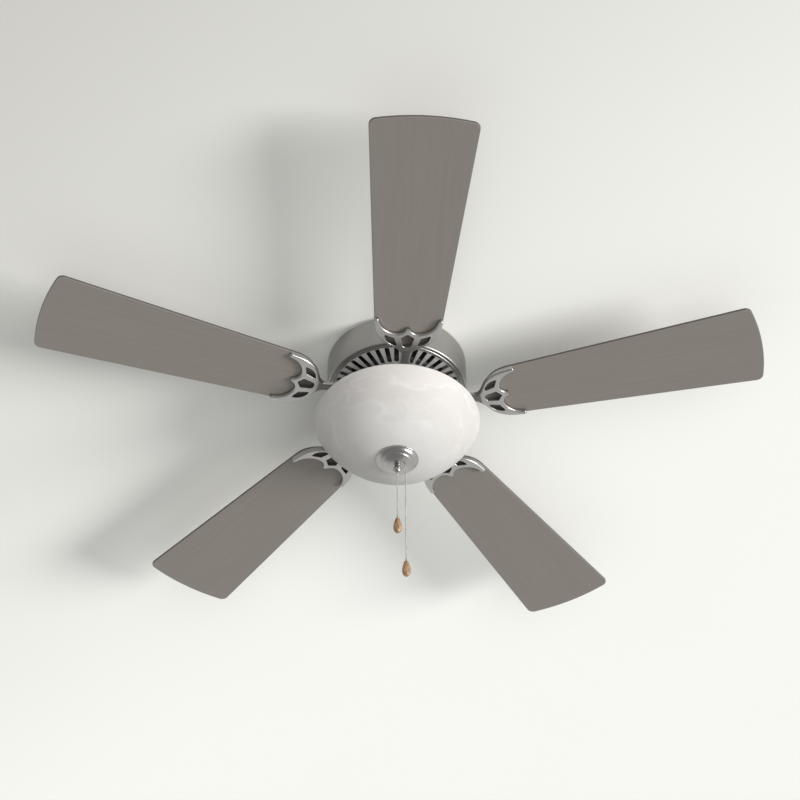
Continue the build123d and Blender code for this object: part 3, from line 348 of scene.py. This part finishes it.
# Painted light: the vent ring's nickel is paler than the drum's, so that its ribs read light in the shade
# under the drum.
RING_NICKEL_PAINTED_LIGHT = (0.560, 0.550, 0.536, 1)
RING_NICKEL_PAINTED_LIGHT_DEEP = (0.510, 0.501, 0.488, 1)


def pick(piece, place):
    """Selects, in edit mode, the corner of a piece's outline at a place."""
    bpy.ops.mesh.select_all(action="DESELECT")
    work = bmesh.from_edit_mesh(piece.data)
    for vert in work.verts:
        vert.select_set((vert.co - place).length < SAME_SPOT * MM)
    work.select_flush_mode()
    bmesh.update_edit_mesh(piece.data)


def arc(middle, radius, start, end, steps):
    """Corners of an arc in an outline, between two angles in degrees."""
    turns = [radians(start + (end - start) * k / steps) for k in range(steps + 1)]
    return [(middle[0] + radius * cos(turn), middle[1] + radius * sin(turn)) for turn in turns]


def turned(name, outline, steps):
    """A piece turned round the fan's axis. Its closed outline is drawn corner by corner, each a radius, a
    height and, where the corner is rounded, a rounding, in millimetres, and then spun."""
    bpy.ops.object.select_all(action="DESELECT")
    bpy.ops.mesh.primitive_plane_add(size=MM)
    piece = bpy.context.object
    piece.name = name
    bpy.ops.object.mode_set(mode="EDIT")
    bpy.ops.mesh.merge(type="CENTER")
    corners = [Vector((corner[0], 0, corner[1])) * MM for corner in outline]
    bpy.ops.transform.translate(value=corners[0])
    for start, end in zip(corners, corners[1:] + corners[:1]):
        bpy.ops.mesh.extrude_region_move(TRANSFORM_OT_translate={"value": end - start})
    bpy.ops.mesh.select_all(action="SELECT")
    bpy.ops.mesh.remove_doubles(threshold=SAME_SPOT * MM)
    for corner, place in zip(outline, corners):
        if len(corner) == 3:
            pick(piece, place)
            bpy.ops.mesh.bevel(affect="VERTICES", offset=corner[2] * MM, segments=ROUNDING_STEPS)
    bpy.ops.mesh.select_all(action="SELECT")
    bpy.ops.mesh.spin(steps=steps, angle=tau, center=(0, 0, 0), axis=(0, 0, 1))
    bpy.ops.mesh.select_all(action="SELECT")
    bpy.ops.mesh.remove_doubles(threshold=SAME_SPOT * MM)
    bpy.ops.mesh.normals_make_consistent(inside=False)
    bpy.ops.object.mode_set(mode="OBJECT")
    bpy.ops.object.shade_smooth_by_angle(angle=radians(SMOOTH_BELOW))
    return piece


body_of = {node: body for body, nodes in frame["record"]["behaviour"]["bodies"].items() for node in nodes}


def fit(piece, finish, *nodes):
    """Gives a finished piece its material and puts it in the place of CAD nodes, on their body."""
    piece.data.materials.clear()
    piece.data.materials.append(finish.owner)
    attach(piece, body_of[nodes[0]])
    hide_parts(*nodes)


def nickel(name, brushed, light, shade, gloss, metal=1.0):
    """Satin nickel plate: brushed round the axis on turned pieces, and finely blasted on castings."""
    finish = new_finish(name, {"Metallic": metal})
    spot = finish.place()
    if brushed:
        level = finish.vector("MULTIPLY", spot, (1, 1, 0))
        along = (finish.vector("LENGTH", level, output="Value") + height_of(finish)) * BRUSH_LINES_PER_M
        lines = {"Vector": finish.vector("NORMALIZE", level), "W": along, "Scale": 1.6, "Detail": 2.0}
        grain = finish.node("ShaderNodeTexNoise", {"noise_dimensions": "4D"}, lines)
    else:
        grain = finish.noise(spot, scale=BLAST_PITS_PER_M, detail=2.0)
    cloud = finish.noise(spot, scale=18.0, detail=2.0)
    finish.feed(Base_Color=finish.blend(cloud * 0.6 + grain * 0.4, light, shade))
    finish.feed(Roughness=gloss + grain * 0.08 + cloud * 0.05)
    finish.relief(grain, depth=0.00002, strength=0.35)
    return finish


drum_nickel = nickel("satin_nickel_drum", True, DRUM_NICKEL, DRUM_NICKEL_SHADE, gloss=0.33)
# The vent ring's finish is a paler copy of the nickel, as painted light on its shaded ribs.
ring_nickel_painted_light = nickel("satin_nickel_ring_painted_light", True, RING_NICKEL_PAINTED_LIGHT, RING_NICKEL_PAINTED_LIGHT_DEEP, gloss=0.42, metal=0.4)
cast_nickel = nickel("satin_nickel_cast", False, CAST_NICKEL, CAST_NICKEL_SHADE, gloss=0.27)
drum_in_r = DRUM_R - DRUM_WALL
bead_top = DRUM_UNDER + 2 * BEAD_R
groove_roof = DRUM_UNDER + GROOVE_RISE
drum = turned("motor_housing_drum", [
    (drum_in_r, DRUM_TOP, 0.5),
    (DRUM_R, DRUM_TOP, 0.7),
    (DRUM_R, bead_top + 0.6),
    *arc(BEAD_MIDDLE, BEAD_R, start=40, end=-118, steps=14),
    (GROOVE_IN_R + 1.6, groove_roof, 0.3),
    (GROOVE_IN_R, groove_roof, 0.3),
    (GROOVE_IN_R - 0.6, DRUM_UNDER, 0.3),
    (DRUM_LIP_R, DRUM_UNDER, 0.4),
    (DRUM_LIP_R, DRUM_UNDER + DRUM_WALL, 0.4),
    (GROOVE_IN_R, DRUM_UNDER + DRUM_WALL + 0.5),
    (drum_in_r, bead_top + 1.5),
], steps=192)
fit(drum, drum_nickel, "motor_housing")
dress(ring_nickel_painted_light, "vent_ring")


def cut_out(piece, tool):
    """Cuts a tool's shape out of a piece and clears the tool away."""
    bpy.ops.object.select_all(action="DESELECT")
    piece.select_set(True)
    bpy.context.view_layer.objects.active = piece
    cut = piece.modifiers.new("cut", "BOOLEAN")
    cut.operation = "DIFFERENCE"
    cut.object = tool
    bpy.ops.object.modifier_apply(modifier=cut.name)
    bpy.data.objects.remove(tool)


def cross_screw(head_r, head_h, shank_r, length):
    """A pan-head screw that stands on z = 0 with its shank below and a cross recess in its head."""
    skirt = 0.42
    recess_l = 1.25
    recess_w = 0.28
    crown = [
        (head_r * sin(turn), head_h * (skirt + (1 - skirt) * cos(turn)))
        for turn in (1.5, 1.2, 0.9, 0.6, 0.3)
    ]
    shank = [(0, -length), (shank_r * 0.7, -length), (shank_r, -length + shank_r * 0.5), (shank_r, 0)]
    head = [(head_r, 0, 0.15), (head_r, head_h * skirt), *crown, (0, head_h)]
    piece = turned("screw", [*shank, *head], steps=SCREW_STEPS)
    for width, depth in ((recess_l, recess_w), (recess_w, recess_l)):
        bpy.ops.mesh.primitive_cube_add(size=1, location=(0, 0, head_h * MM))
        tool = bpy.context.object
        bpy.ops.transform.resize(value=(width * head_r * MM, depth * head_r * MM, head_h * 1.1 * MM))
        bpy.ops.object.transform_apply(location=True, rotation=True, scale=True)
        cut_out(piece, tool)
    return piece


def placed(name, model, places):
    """Copies of a model, each with its own mesh, moved to their places and joined as one piece."""
    bpy.ops.object.select_all(action="DESELECT")
    for place in places:
        copy = model.copy()
        copy.data = model.data.copy()
        copy.data.transform(place)
        bpy.context.collection.objects.link(copy)
        copy.select_set(True)
    bpy.context.view_layer.objects.active = copy
    bpy.ops.object.join()
    joined = bpy.context.object
    joined.name = name
    bpy.data.objects.remove(model)
    return joined


def radial(turn, radius, level):
    """A place on a circle round the fan's axis, in degrees and millimetres, whose Z points outwards."""
    outwards = Matrix.Translation((radius * MM, 0, level * MM)) @ Matrix.Rotation(pi / 2, 4, "Y")
    return Matrix.Rotation(radians(turn), 4, "Z") @ outwards


drum_screws = placed("motor_housing_screws", cross_screw(**SMALL_SCREW, length=HOUSING_SCREW_L),
                     [radial(turn, DRUM_R, HOUSING_SCREW_LEVEL) for turn in HOUSING_SCREW_TURNS])
fit(drum_screws, cast_nickel, "housing_screws")

# Blade flange and irons: zinc castings in satin nickel. The flange is screwed under the motor, and two
# pan-head screws hold each pierced iron's pad to it.
FIRST_BLADE_TURN = -86.45
BLADE_TURNS = [FIRST_BLADE_TURN + 72.0 * k for k in range(5)]
BLADE_OFFSET = 8.0
PAD_SCREW_R = 77.0
PAD_SCREW_SIDE = 11.0
PAD_UNDER = -104.0
PAD_SCREW = {"head_r": 4.6, "head_h": 3.0, "shank_r": 2.4, "length": 14.0}

to_blade_line = Matrix.Translation((0, BLADE_OFFSET * MM, 0))
blade_frames = [Matrix.Rotation(radians(turn), 4, "Z") @ to_blade_line for turn in BLADE_TURNS]
head_down = Matrix.Rotation(pi, 4, "X")
pad_screw_places = [
    blade_frame @ Matrix.Translation((PAD_SCREW_R * MM, side * MM, PAD_UNDER * MM)) @ head_down
    for blade_frame in blade_frames
    for side in (PAD_SCREW_SIDE, -PAD_SCREW_SIDE)
]
dress(cast_nickel, "blade_flange", *[f"blade_iron_{number}" for number in range(1, 6)])
pad_screws = placed("blade_iron_screws", cross_screw(**PAD_SCREW), pad_screw_places)
fit(pad_screws, cast_nickel, "iron_screws")

# Blades: 5.5 mm board with a warm grey laminate on both faces and a darker band round the edge. The root's
# underside, where the pierced iron covers it, is painted dark as shade seen through the iron's holes, and
# three screws with washers go down through each board into its iron.
BOARD_GREY = (0.209, 0.1915, 0.172, 1)
BOARD_GREY_DEEP = (0.197, 0.180, 0.162, 1)
BOARD_EDGE = (0.082, 0.075, 0.068, 1)
BOARD_PAINTED_SHADE = (0.095, 0.086, 0.077, 1)
STREAK_SCALE = (6.0, 140.0, 140.0)
PORE_SCALE = (60.0, 1300.0, 1300.0)
ROOT_SHADE_END_R = 193.5
ROOT_SHADE_EDGE_HALF_W = 0.3
BOARD_TOP = -106.5
WASHER_T = 0.8
BLADE_SCREW_L = 11.0
BLADE_SCREW_SPOTS = ((199.5, 0.0), (204.0, 50.0), (204.0, -50.0))

for number, turn in enumerate(BLADE_TURNS, start=1):
    board = new_finish(f"blade_board_{number}", {"Specular IOR Level": 0.35})
    streak = board.noise(board.place(STREAK_SCALE, -turn), scale=1.0, detail=4.0, rough=0.55, warp=0.4)
    pore = board.noise(board.place(PORE_SCALE, -turn), scale=1.0, detail=2.0)
    laminate = board.blend(streak.between(0.3, 0.7) * 0.8 + pore * 0.2, BOARD_GREY, BOARD_GREY_DEEP)
    facing = board.node("ShaderNodeNewGeometry", output="Normal")
    upright = board.node("ShaderNodeSeparateXYZ", {}, {0: facing}, "Z")
    along = board.node("ShaderNodeSeparateXYZ", {}, {0: board.place(turn=-turn)}, "X")
    # Painted shade: the board's underside is dark where the iron covers it, as seen through the iron's
    # holes.
    under_iron = 1 - along.between((ROOT_SHADE_END_R - ROOT_SHADE_EDGE_HALF_W) * MM, (ROOT_SHADE_END_R + ROOT_SHADE_EDGE_HALF_W) * MM)
    painted_root_shade = under_iron * (1 - upright.between(-0.75, -0.15))
    face = board.blend(painted_root_shade, laminate, BOARD_PAINTED_SHADE)
    board.feed(Base_Color=board.blend(abs(upright).between(0.15, 0.75), BOARD_EDGE, face))
    board.feed(Roughness=0.42 + streak * 0.10 + pore * 0.06)
    board.relief(pore * 0.6 + streak * 0.4, depth=0.00006, strength=0.5)
    dress(board, f"blade_{number}")
dress(zinc, "blade_washers")
blade_screw_places = [
    blade_frame @ Matrix.Translation((x * MM, y * MM, (BOARD_TOP + WASHER_T) * MM))
    for blade_frame in blade_frames
    for x, y in BLADE_SCREW_SPOTS
]
blade_screw = cross_screw(**SMALL_SCREW, length=BLADE_SCREW_L)
board_screws = placed("blade_board_screws", blade_screw, blade_screw_places)
fit(board_screws, zinc, "blade_screws")

# Switch housing: a drawn steel cup in satin nickel on the shaft's end. The reversing slider stands in its
# wall, and the two pull switches and the motor's capacitor, moulded in black plastic, are inside.
PLASTIC = (0.020, 0.020, 0.022, 1)
PLASTIC_WORN = (0.036, 0.036, 0.038, 1)

black_plastic = new_finish("switch_plastic", {"Specular IOR Level": 0.4})
spark = black_plastic.noise(black_plastic.place(), scale=1300.0, detail=2.0)
rub = black_plastic.noise(black_plastic.place(), scale=60.0, detail=3.0)
black_plastic.feed(Base_Color=black_plastic.blend(rub.between(0.45, 0.7), PLASTIC, PLASTIC_WORN))
black_plastic.feed(Roughness=0.42 + spark * 0.18)
black_plastic.relief(spark, depth=0.00005, strength=0.5)
dress(drum_nickel, "switch_housing")
dress(black_plastic, "reverse_switch", "reverse_slider", "fan_switch", "light_switch", "capacitor")

# Light fitter: a pale enamelled pan on the cup's mouth with three cross-head screws, a rubber ring for the
# bowl's rim, and the threaded centre rod with its two nuts.
ENAMEL = (0.66, 0.66, 0.635, 1)
ENAMEL_THIN = (0.60, 0.60, 0.575, 1)
RUBBER = (0.032, 0.032, 0.033, 1)
RUBBER_DUST = (0.060, 0.058, 0.056, 1)
ROD_THREADS_PER_M = 900.0
PAN_SCREW_L = 4.0
PAN_SCREW_TURNS = (90.0, 210.0, 330.0)
PAN_SCREW_R = 48.0
PAN_SCREW_LEVEL = -137.8

enamel = new_finish("pan_paint", {"Coat Weight": 0.25})
peel = enamel.noise(enamel.place(), scale=320.0, detail=1.0)
thin = enamel.noise(enamel.place(), scale=14.0, detail=2.0)
enamel.feed(Base_Color=enamel.blend(thin, ENAMEL, ENAMEL_THIN))
enamel.feed(Roughness=0.34 + peel * 0.1)
enamel.relief(peel, depth=0.00008, strength=0.5)
dress(enamel, "fitter_pan")

rubber = new_finish("gasket_rubber", {"Specular IOR Level": 0.25})
dust = rubber.noise(rubber.place(), scale=240.0, detail=3.0)
rubber.feed(Base_Color=rubber.blend(dust.between(0.5, 0.75), RUBBER, RUBBER_DUST))
rubber.feed(Roughness=0.68 + dust * 0.2)
rubber.relief(dust, depth=0.00008, strength=0.5)
dress(rubber, "bowl_gasket", "cap_washer")

rod_steel = new_finish("rod_thread", {"Metallic": 1.0})
thread = height_of(rod_steel).wave(ROD_THREADS_PER_M)
rod_steel.feed(Base_Color=rod_steel.blend(thread.between(-1.0, 0.4), ZINC_DULL, ZINC))
rod_steel.feed(Roughness=0.36 - thread * 0.05)
rod_steel.relief(thread, depth=0.0003)
dress(rod_steel, "centre_rod")
dress(zinc, "rod_nuts")
pan_screws = placed("fitter_pan_screws", cross_screw(**SMALL_SCREW, length=PAN_SCREW_L),
                    [radial(turn, PAN_SCREW_R, PAN_SCREW_LEVEL) for turn in PAN_SCREW_TURNS])
fit(pan_screws, cast_nickel, "fitter_screws")

# Lamps: three frosted candle bulbs with brass caps, screwed into cream plastic holders. Each holder stands
# on a steel bracket that is riveted under the pan, and the bowl hides them all.
CREAM = (0.70, 0.675, 0.60, 1)
CREAM_AGED = (0.62, 0.575, 0.47, 1)
FROST = (0.80, 0.80, 0.775, 1)
FROST_THIN = (0.70, 0.70, 0.68, 1)
BRASS = (0.60, 0.44, 0.20, 1)
BRASS_DULL = (0.36, 0.25, 0.11, 1)

cream = new_finish("lamp_holder_plastic", {"Roughness": 0.45})
age = cream.noise(cream.place(), scale=45.0, detail=3.0)
cream.feed(Base_Color=cream.blend(age.between(0.35, 0.75), CREAM, CREAM_AGED))
spark = cream.noise(cream.place(), scale=1100.0, detail=1.0)
cream.relief(spark, depth=0.00005, strength=0.4)
dress(cream, "lamp_holders")

frost = new_finish("bulb_frost", {"IOR": 1.46, "Coat Weight": 0.2})
etch = frost.noise(frost.place(), scale=800.0, detail=2.0)
frost.feed(Base_Color=frost.blend(etch, FROST, FROST_THIN))
frost.feed(Roughness=0.36 + etch * 0.16)
dress(frost, "bulbs")

brass = new_finish("lamp_cap_brass", {"Metallic": 1.0})
tarnish = brass.noise(brass.place(), scale=120.0, detail=3.0)
brass.feed(Base_Color=brass.blend(tarnish.between(0.4, 0.75), BRASS, BRASS_DULL))
brass.feed(Roughness=0.24 + tarnish * 0.2)
dress(brass, "lamp_caps")
dress(zinc, "lamp_brackets", "bracket_rivets")

# Glass bowl: pressed alabaster glass, white with soft clouds and veins, a smooth round rim and a hole at
# its lowest point. The finial draws it up against the pan's gasket.
BOWL_R = 150.6
BOWL_RIM = -147.1
BOWL_BALL_R = 166.87
BOWL_MIDDLE = (0.0, -75.23)
BOWL_T = 4.0
BOWL_RIM_IN_R = 143.6
BOWL_RIM_ROUNDING = 1.8
BOWL_OUTSIDE = (-83.1, -25.5)
BOWL_INSIDE = (-28.6, -82.95)
BOWL_STEPS = 48
GLASS_MILK = (0.550, 0.550, 0.536, 1)
GLASS_WARM = (0.552, 0.529, 0.515, 1)
GLASS_CLOUD = (0.512, 0.496, 0.483, 1)
GLASS_VEIN = (0.588, 0.577, 0.565, 1)
STREAK_LAY = 2.6
CURD_LAY = 1.6
PATCH_LAY = 1.4
MELT_SPOT = (0.90, 0.50, 0.0)
WARM_FROM_TO = (-0.225, -0.165)
VEINED_FROM_TO = (-0.232, -0.205)

bowl = turned("glass_bowl_alabaster", [
    *arc(BOWL_MIDDLE, BOWL_BALL_R, *BOWL_OUTSIDE, BOWL_STEPS)[:-1],
    (BOWL_R, BOWL_RIM, BOWL_RIM_ROUNDING),
    (BOWL_RIM_IN_R, BOWL_RIM, BOWL_RIM_ROUNDING),
    *arc(BOWL_MIDDLE, BOWL_BALL_R - BOWL_T, *BOWL_INSIDE, BOWL_STEPS),
], steps=192)
alabaster = new_finish("alabaster_glass", {"IOR": 1.5, "Specular IOR Level": 0.12})


def melt(lay):
    """The glass's own coordinates, in which a streak lies flatter the larger the lay."""
    return alabaster.place((1, 1, lay), shift=MELT_SPOT)


def stirred(scale, swing, lay):
    """Those coordinates pulled about, as the melt was stirred."""
    stir = {"Vector": melt(lay), "Scale": scale, "Detail": 1.0}
    pulled = alabaster.node("ShaderNodeTexNoise", {}, stir, "Color")
    return alabaster.vector("MULTIPLY_ADD", pulled, (swing, swing, swing), melt(lay))


def streak_line(melt_noise, level, thinness):
    """A thin line where a noise passes a level."""
    return (1 - abs(melt_noise - level) * thinness).between(0.0, 1.0)


cloud = alabaster.noise(stirred(scale=8.0, swing=0.10, lay=STREAK_LAY), scale=6.0, detail=2.5)
wisp = alabaster.noise(stirred(scale=13.0, swing=0.06, lay=STREAK_LAY), scale=9.0, detail=3.0, rough=0.55)
curd = alabaster.noise(stirred(scale=24.0, swing=0.05, lay=CURD_LAY), scale=26.0, detail=3.0)
patch = alabaster.noise(melt(PATCH_LAY), scale=8.0, detail=1.0)
warm = height_of(alabaster).between(*WARM_FROM_TO)
veined = height_of(alabaster).between(*VEINED_FROM_TO)
body = alabaster.blend(warm, GLASS_MILK, GLASS_WARM)
cloudy = cloud.between(0.34, 0.62) * 0.7 + curd.between(0.36, 0.64) * 0.3
cloud_line = streak_line(cloud, level=0.52, thinness=30.0) * patch.between(0.34, 0.56)
wisp_line = streak_line(wisp, level=0.50, thinness=25.5) * (1 - patch.between(0.42, 0.60))
curd_line = streak_line(curd, level=0.50, thinness=16.0) * patch.between(0.52, 0.64)
lines = (cloud_line * 0.75 + wisp_line * 0.6 + curd_line * 0.35).between(0.0, 1.0)
milk = alabaster.blend(cloudy, GLASS_CLOUD, body)
alabaster.feed(Base_Color=alabaster.blend(lines * (0.2 + veined * 0.8), milk, GLASS_VEIN))
alabaster.feed(Roughness=0.44 + cloud * 0.12)
fit(bowl, alabaster, "glass_bowl")

# Finial: a spun steel cap in satin nickel with a rolled rim and a raised step, and a turned knob on the
# centre rod that draws it up on a rubber washer. The light's chain leaves through a hole in the cap.
CAP_R = 38.0
CAP_RIM = -238.7
CAP_STEP_R = 26.5
CAP_STEP = -245.7
CAP_DOME_R = 25.6
CAP_DOME = -247.4
CAP_UNDER = -253.0
CAP_HOLE_R = 4.1
DOME_MOUTH = -82.0
DOME_STEPS = 14
CAP_WALL = 1.7
CAP_ROLL_R = 1.1
CAP_ROLL_MIDDLE = (CAP_R - 1.0, CAP_RIM - 0.2)
CAP_SHOULDER = (
    (36.0, -240.0),
    (35.0, -240.7),
    (34.0, -241.8),
    (32.9, -243.2),
    (31.6, -244.4),
    (29.9, -245.2),
)
CAP_BACK_R = 35.8
CAP_SEAT = (30.0, -239.9)
TURNED_NICKEL = (0.430, 0.423, 0.414, 1)
TURNED_NICKEL_SHADE = (0.385, 0.379, 0.371, 1)
LIGHT_CHAIN_SPOT = (14.5, -3.0)
CHAIN_HOLE_R = 1.5
CHAIN_HOLE_L = 20.0
KNOB_MIDDLE = (0.0, -262.0)
KNOB_R = 7.3
KNOB_COLLAR_R = 5.6
KNOB_NECK_R = 3.4
KNOB_SPIGOT_R = 2.3
KNOB_SPIGOT_L = 8.0
KNOB_UNDER = -268.9
KNOB_MOUTH = -268.4

turned_nickel = nickel("satin_nickel_turned", True, TURNED_NICKEL, TURNED_NICKEL_SHADE, gloss=0.21)
dome_ball_r = (CAP_DOME_R**2 + (CAP_UNDER - CAP_DOME) ** 2) / (2 * (CAP_DOME - CAP_UNDER))
dome_middle = (0.0, CAP_UNDER + dome_ball_r)
dome_edge = degrees(CAP_DOME_R / dome_ball_r) - 90
cap = turned("finial_cap_spun", [
    (CAP_BACK_R, CAP_RIM + 0.6),
    *arc(CAP_ROLL_MIDDLE, CAP_ROLL_R, start=120, end=-80, steps=10),
    *CAP_SHOULDER,
    (CAP_STEP_R + 0.6, CAP_STEP + 0.1),
    (CAP_STEP_R, CAP_STEP - 0.2, 0.25),
    (CAP_DOME_R, CAP_DOME, 0.4),
    *arc(dome_middle, dome_ball_r, dome_edge - 2, DOME_MOUTH, DOME_STEPS),
    (CAP_HOLE_R, CAP_UNDER),
    (CAP_HOLE_R, CAP_UNDER + CAP_WALL),
    *arc(dome_middle, dome_ball_r - CAP_WALL, DOME_MOUTH, dome_edge - 4, DOME_STEPS),
    CAP_SEAT,
], steps=160)
chain_hole_at = (LIGHT_CHAIN_SPOT[0] * MM, LIGHT_CHAIN_SPOT[1] * MM, CAP_UNDER * MM)
bpy.ops.mesh.primitive_cylinder_add(vertices=32, radius=CHAIN_HOLE_R * MM, depth=CHAIN_HOLE_L * MM,
                                    location=chain_hole_at)
cut_out(cap, bpy.context.object)
fit(cap, turned_nickel, "finial_cap")

knob = turned("finial_knob_turned", [
    (CHAIN_HOLE_R, CAP_UNDER + KNOB_SPIGOT_L),
    (KNOB_SPIGOT_R, CAP_UNDER + KNOB_SPIGOT_L),
    (KNOB_SPIGOT_R, CAP_UNDER),
    (KNOB_COLLAR_R, CAP_UNDER, 0.3),
    (KNOB_COLLAR_R, CAP_UNDER - 1.6, 0.4),
    (KNOB_NECK_R, CAP_UNDER - 2.2),
    (KNOB_NECK_R - 0.3, CAP_UNDER - 3.0),
    *arc(KNOB_MIDDLE, KNOB_R, start=62, end=-72, steps=20),
    (CHAIN_HOLE_R + 0.4, KNOB_UNDER, 0.2),
    (CHAIN_HOLE_R, KNOB_MOUTH),
], steps=64)
fit(knob, turned_nickel, "finial_knob")

# Pull chains: nickel-plated bead chain, hollow beads on short pins, from each switch down through the
# finial. Each ends in a crimped link and a turned, oiled wooden pull.
BEAD_PITCH = 2.65
CHAIN_BEAD_R = 1.2
CHAIN_PIN_R = 0.45
CHAIN_STEEL = (0.56, 0.56, 0.55, 1)
CHAIN_STEEL_DULL = (0.42, 0.42, 0.412, 1)
FAN_CHAIN_L = 100.5
LIGHT_CHAIN_L = 214.0
ROUTE_SHARES = (0.0, 0.2, 0.5, 0.8, 1.0)
PULL_SEAT = 5.0
PULL_DROP = 2.4
PULL_L = 34.0
PULL_R = 7.5
PULL_TOP_R = 3.6
PULL_WIDEST = 22.4
PULL_SWELL = PULL_WIDEST - PULL_DROP
PULL_STEPS = 12
RING_SCALE = (420.0, 240.0, 60.0)
FLECK_SCALE = (900.0, 900.0, 90.0)
LINK_R = 1.7
LINK_H = 8.0
LINK_TOP_R = 1.2
LINK_CRIMP = (1.45, -3.7)
WOOD = (0.42, 0.268, 0.148, 1)
WOOD_DARK = (0.130, 0.066, 0.032, 1)

chain_steel = new_finish("chain_steel", {"Metallic": 1.0})
handled = chain_steel.noise(chain_steel.place(), scale=420.0, detail=2.0)
chain_steel.feed(Base_Color=chain_steel.blend(handled.between(0.35, 0.7), CHAIN_STEEL, CHAIN_STEEL_DULL))
chain_steel.feed(Roughness=0.24 + handled * 0.16)
dress(chain_steel, "fan_chain_inside", "light_chain_inside")


def pull_chain(chain, spot, top, length):
    """A bead chain that hangs from the finial, with its link and pull."""
    route = bpy.data.curves.new(f"{chain}_route", "CURVE")
    route.dimensions = "3D"
    line = route.splines.new("NURBS")
    line.points.add(len(ROUTE_SHARES) - 1)
    for point, share in zip(line.points, ROUTE_SHARES):
        point.co = (spot[0] * MM, spot[1] * MM, (top - share * length) * MM, 1)
    line.order_u = 3
    line.use_endpoint_u = True
    hung = bpy.data.objects.new(f"{chain}_route", route)
    path = [vert.co.copy() for vert in bpy.data.meshes.new_from_object(hung).vertices]
    bpy.data.objects.remove(hung)

    count = round(length / BEAD_PITCH)
    half = length / count / 2
    ball = arc((0, 0), CHAIN_BEAD_R, start=66, end=-66, steps=6)
    upper_pin = [(0, half), (CHAIN_PIN_R, half)]
    lower_pin = [(CHAIN_PIN_R, -half), (0, -half)]
    bead = turned("bead", [*upper_pin, *ball, *lower_pin], steps=12)
    fall = path[-1] - path[0]
    beads = [Matrix.Translation(path[0] + fall * ((k + 0.5) / count)) for k in range(count)]
    strung = placed(f"{chain}_beads", bead, beads)
    fit(strung, chain_steel, chain)

    here = Matrix.Translation((spot[0] * MM, spot[1] * MM, (top - length) * MM))
    crimp = turned("crimp", [
        (0, 0),
        (LINK_TOP_R, 0, 0.3),
        (LINK_R, -1.6, 0.3),
        (LINK_R, -3.4, 0.2),
        LINK_CRIMP,
        (LINK_R, -4.0, 0.2),
        (LINK_R, -LINK_H, 0.2),
        (0, -LINK_H),
    ], steps=32)
    link = placed(f"{chain}_crimp", crimp, [here])
    fit(link, chain_steel, f"{chain}_link")

    quarter = [k / PULL_STEPS * pi / 2 for k in range(1, PULL_STEPS + 1)]
    swell = [
        (PULL_TOP_R + (PULL_R - PULL_TOP_R) * sin(turn), -PULL_DROP - PULL_SWELL * turn / (pi / 2))
        for turn in quarter
    ]
    tail = [(PULL_R * cos(turn), -PULL_WIDEST - (PULL_L - PULL_WIDEST) * sin(turn)) for turn in quarter]
    egg = [(0, -PULL_DROP), (PULL_TOP_R, -PULL_DROP, 1.2), *swell, *tail]
    pull_name = chain.replace("chain", "pull")
    seated = here @ Matrix.Translation((0, 0, -PULL_SEAT * MM))
    pull = placed(f"{pull_name}_turned", turned("pull", egg, steps=48), [seated])
    fit(pull, wood, pull_name)


wood = new_finish("pull_wood", {"Coat Weight": 0.5, "Coat Roughness": 0.12})
ring = wood.noise(wood.place(RING_SCALE), scale=1.0, detail=3.0, rough=0.6, warp=0.8)
fleck = wood.noise(wood.place(FLECK_SCALE), scale=1.0, detail=2.0)
wood.feed(Base_Color=wood.blend(ring.between(0.40, 0.66) * 0.8 + fleck * 0.3, WOOD, WOOD_DARK))
wood.feed(Roughness=0.36 + fleck * 0.14)
wood.relief(fleck, depth=0.00008, strength=0.6)

pull_chain("fan_chain", (0.0, 0.0), KNOB_MOUTH, FAN_CHAIN_L)
pull_chain("light_chain", LIGHT_CHAIN_SPOT, CAP_UNDER, LIGHT_CHAIN_L)
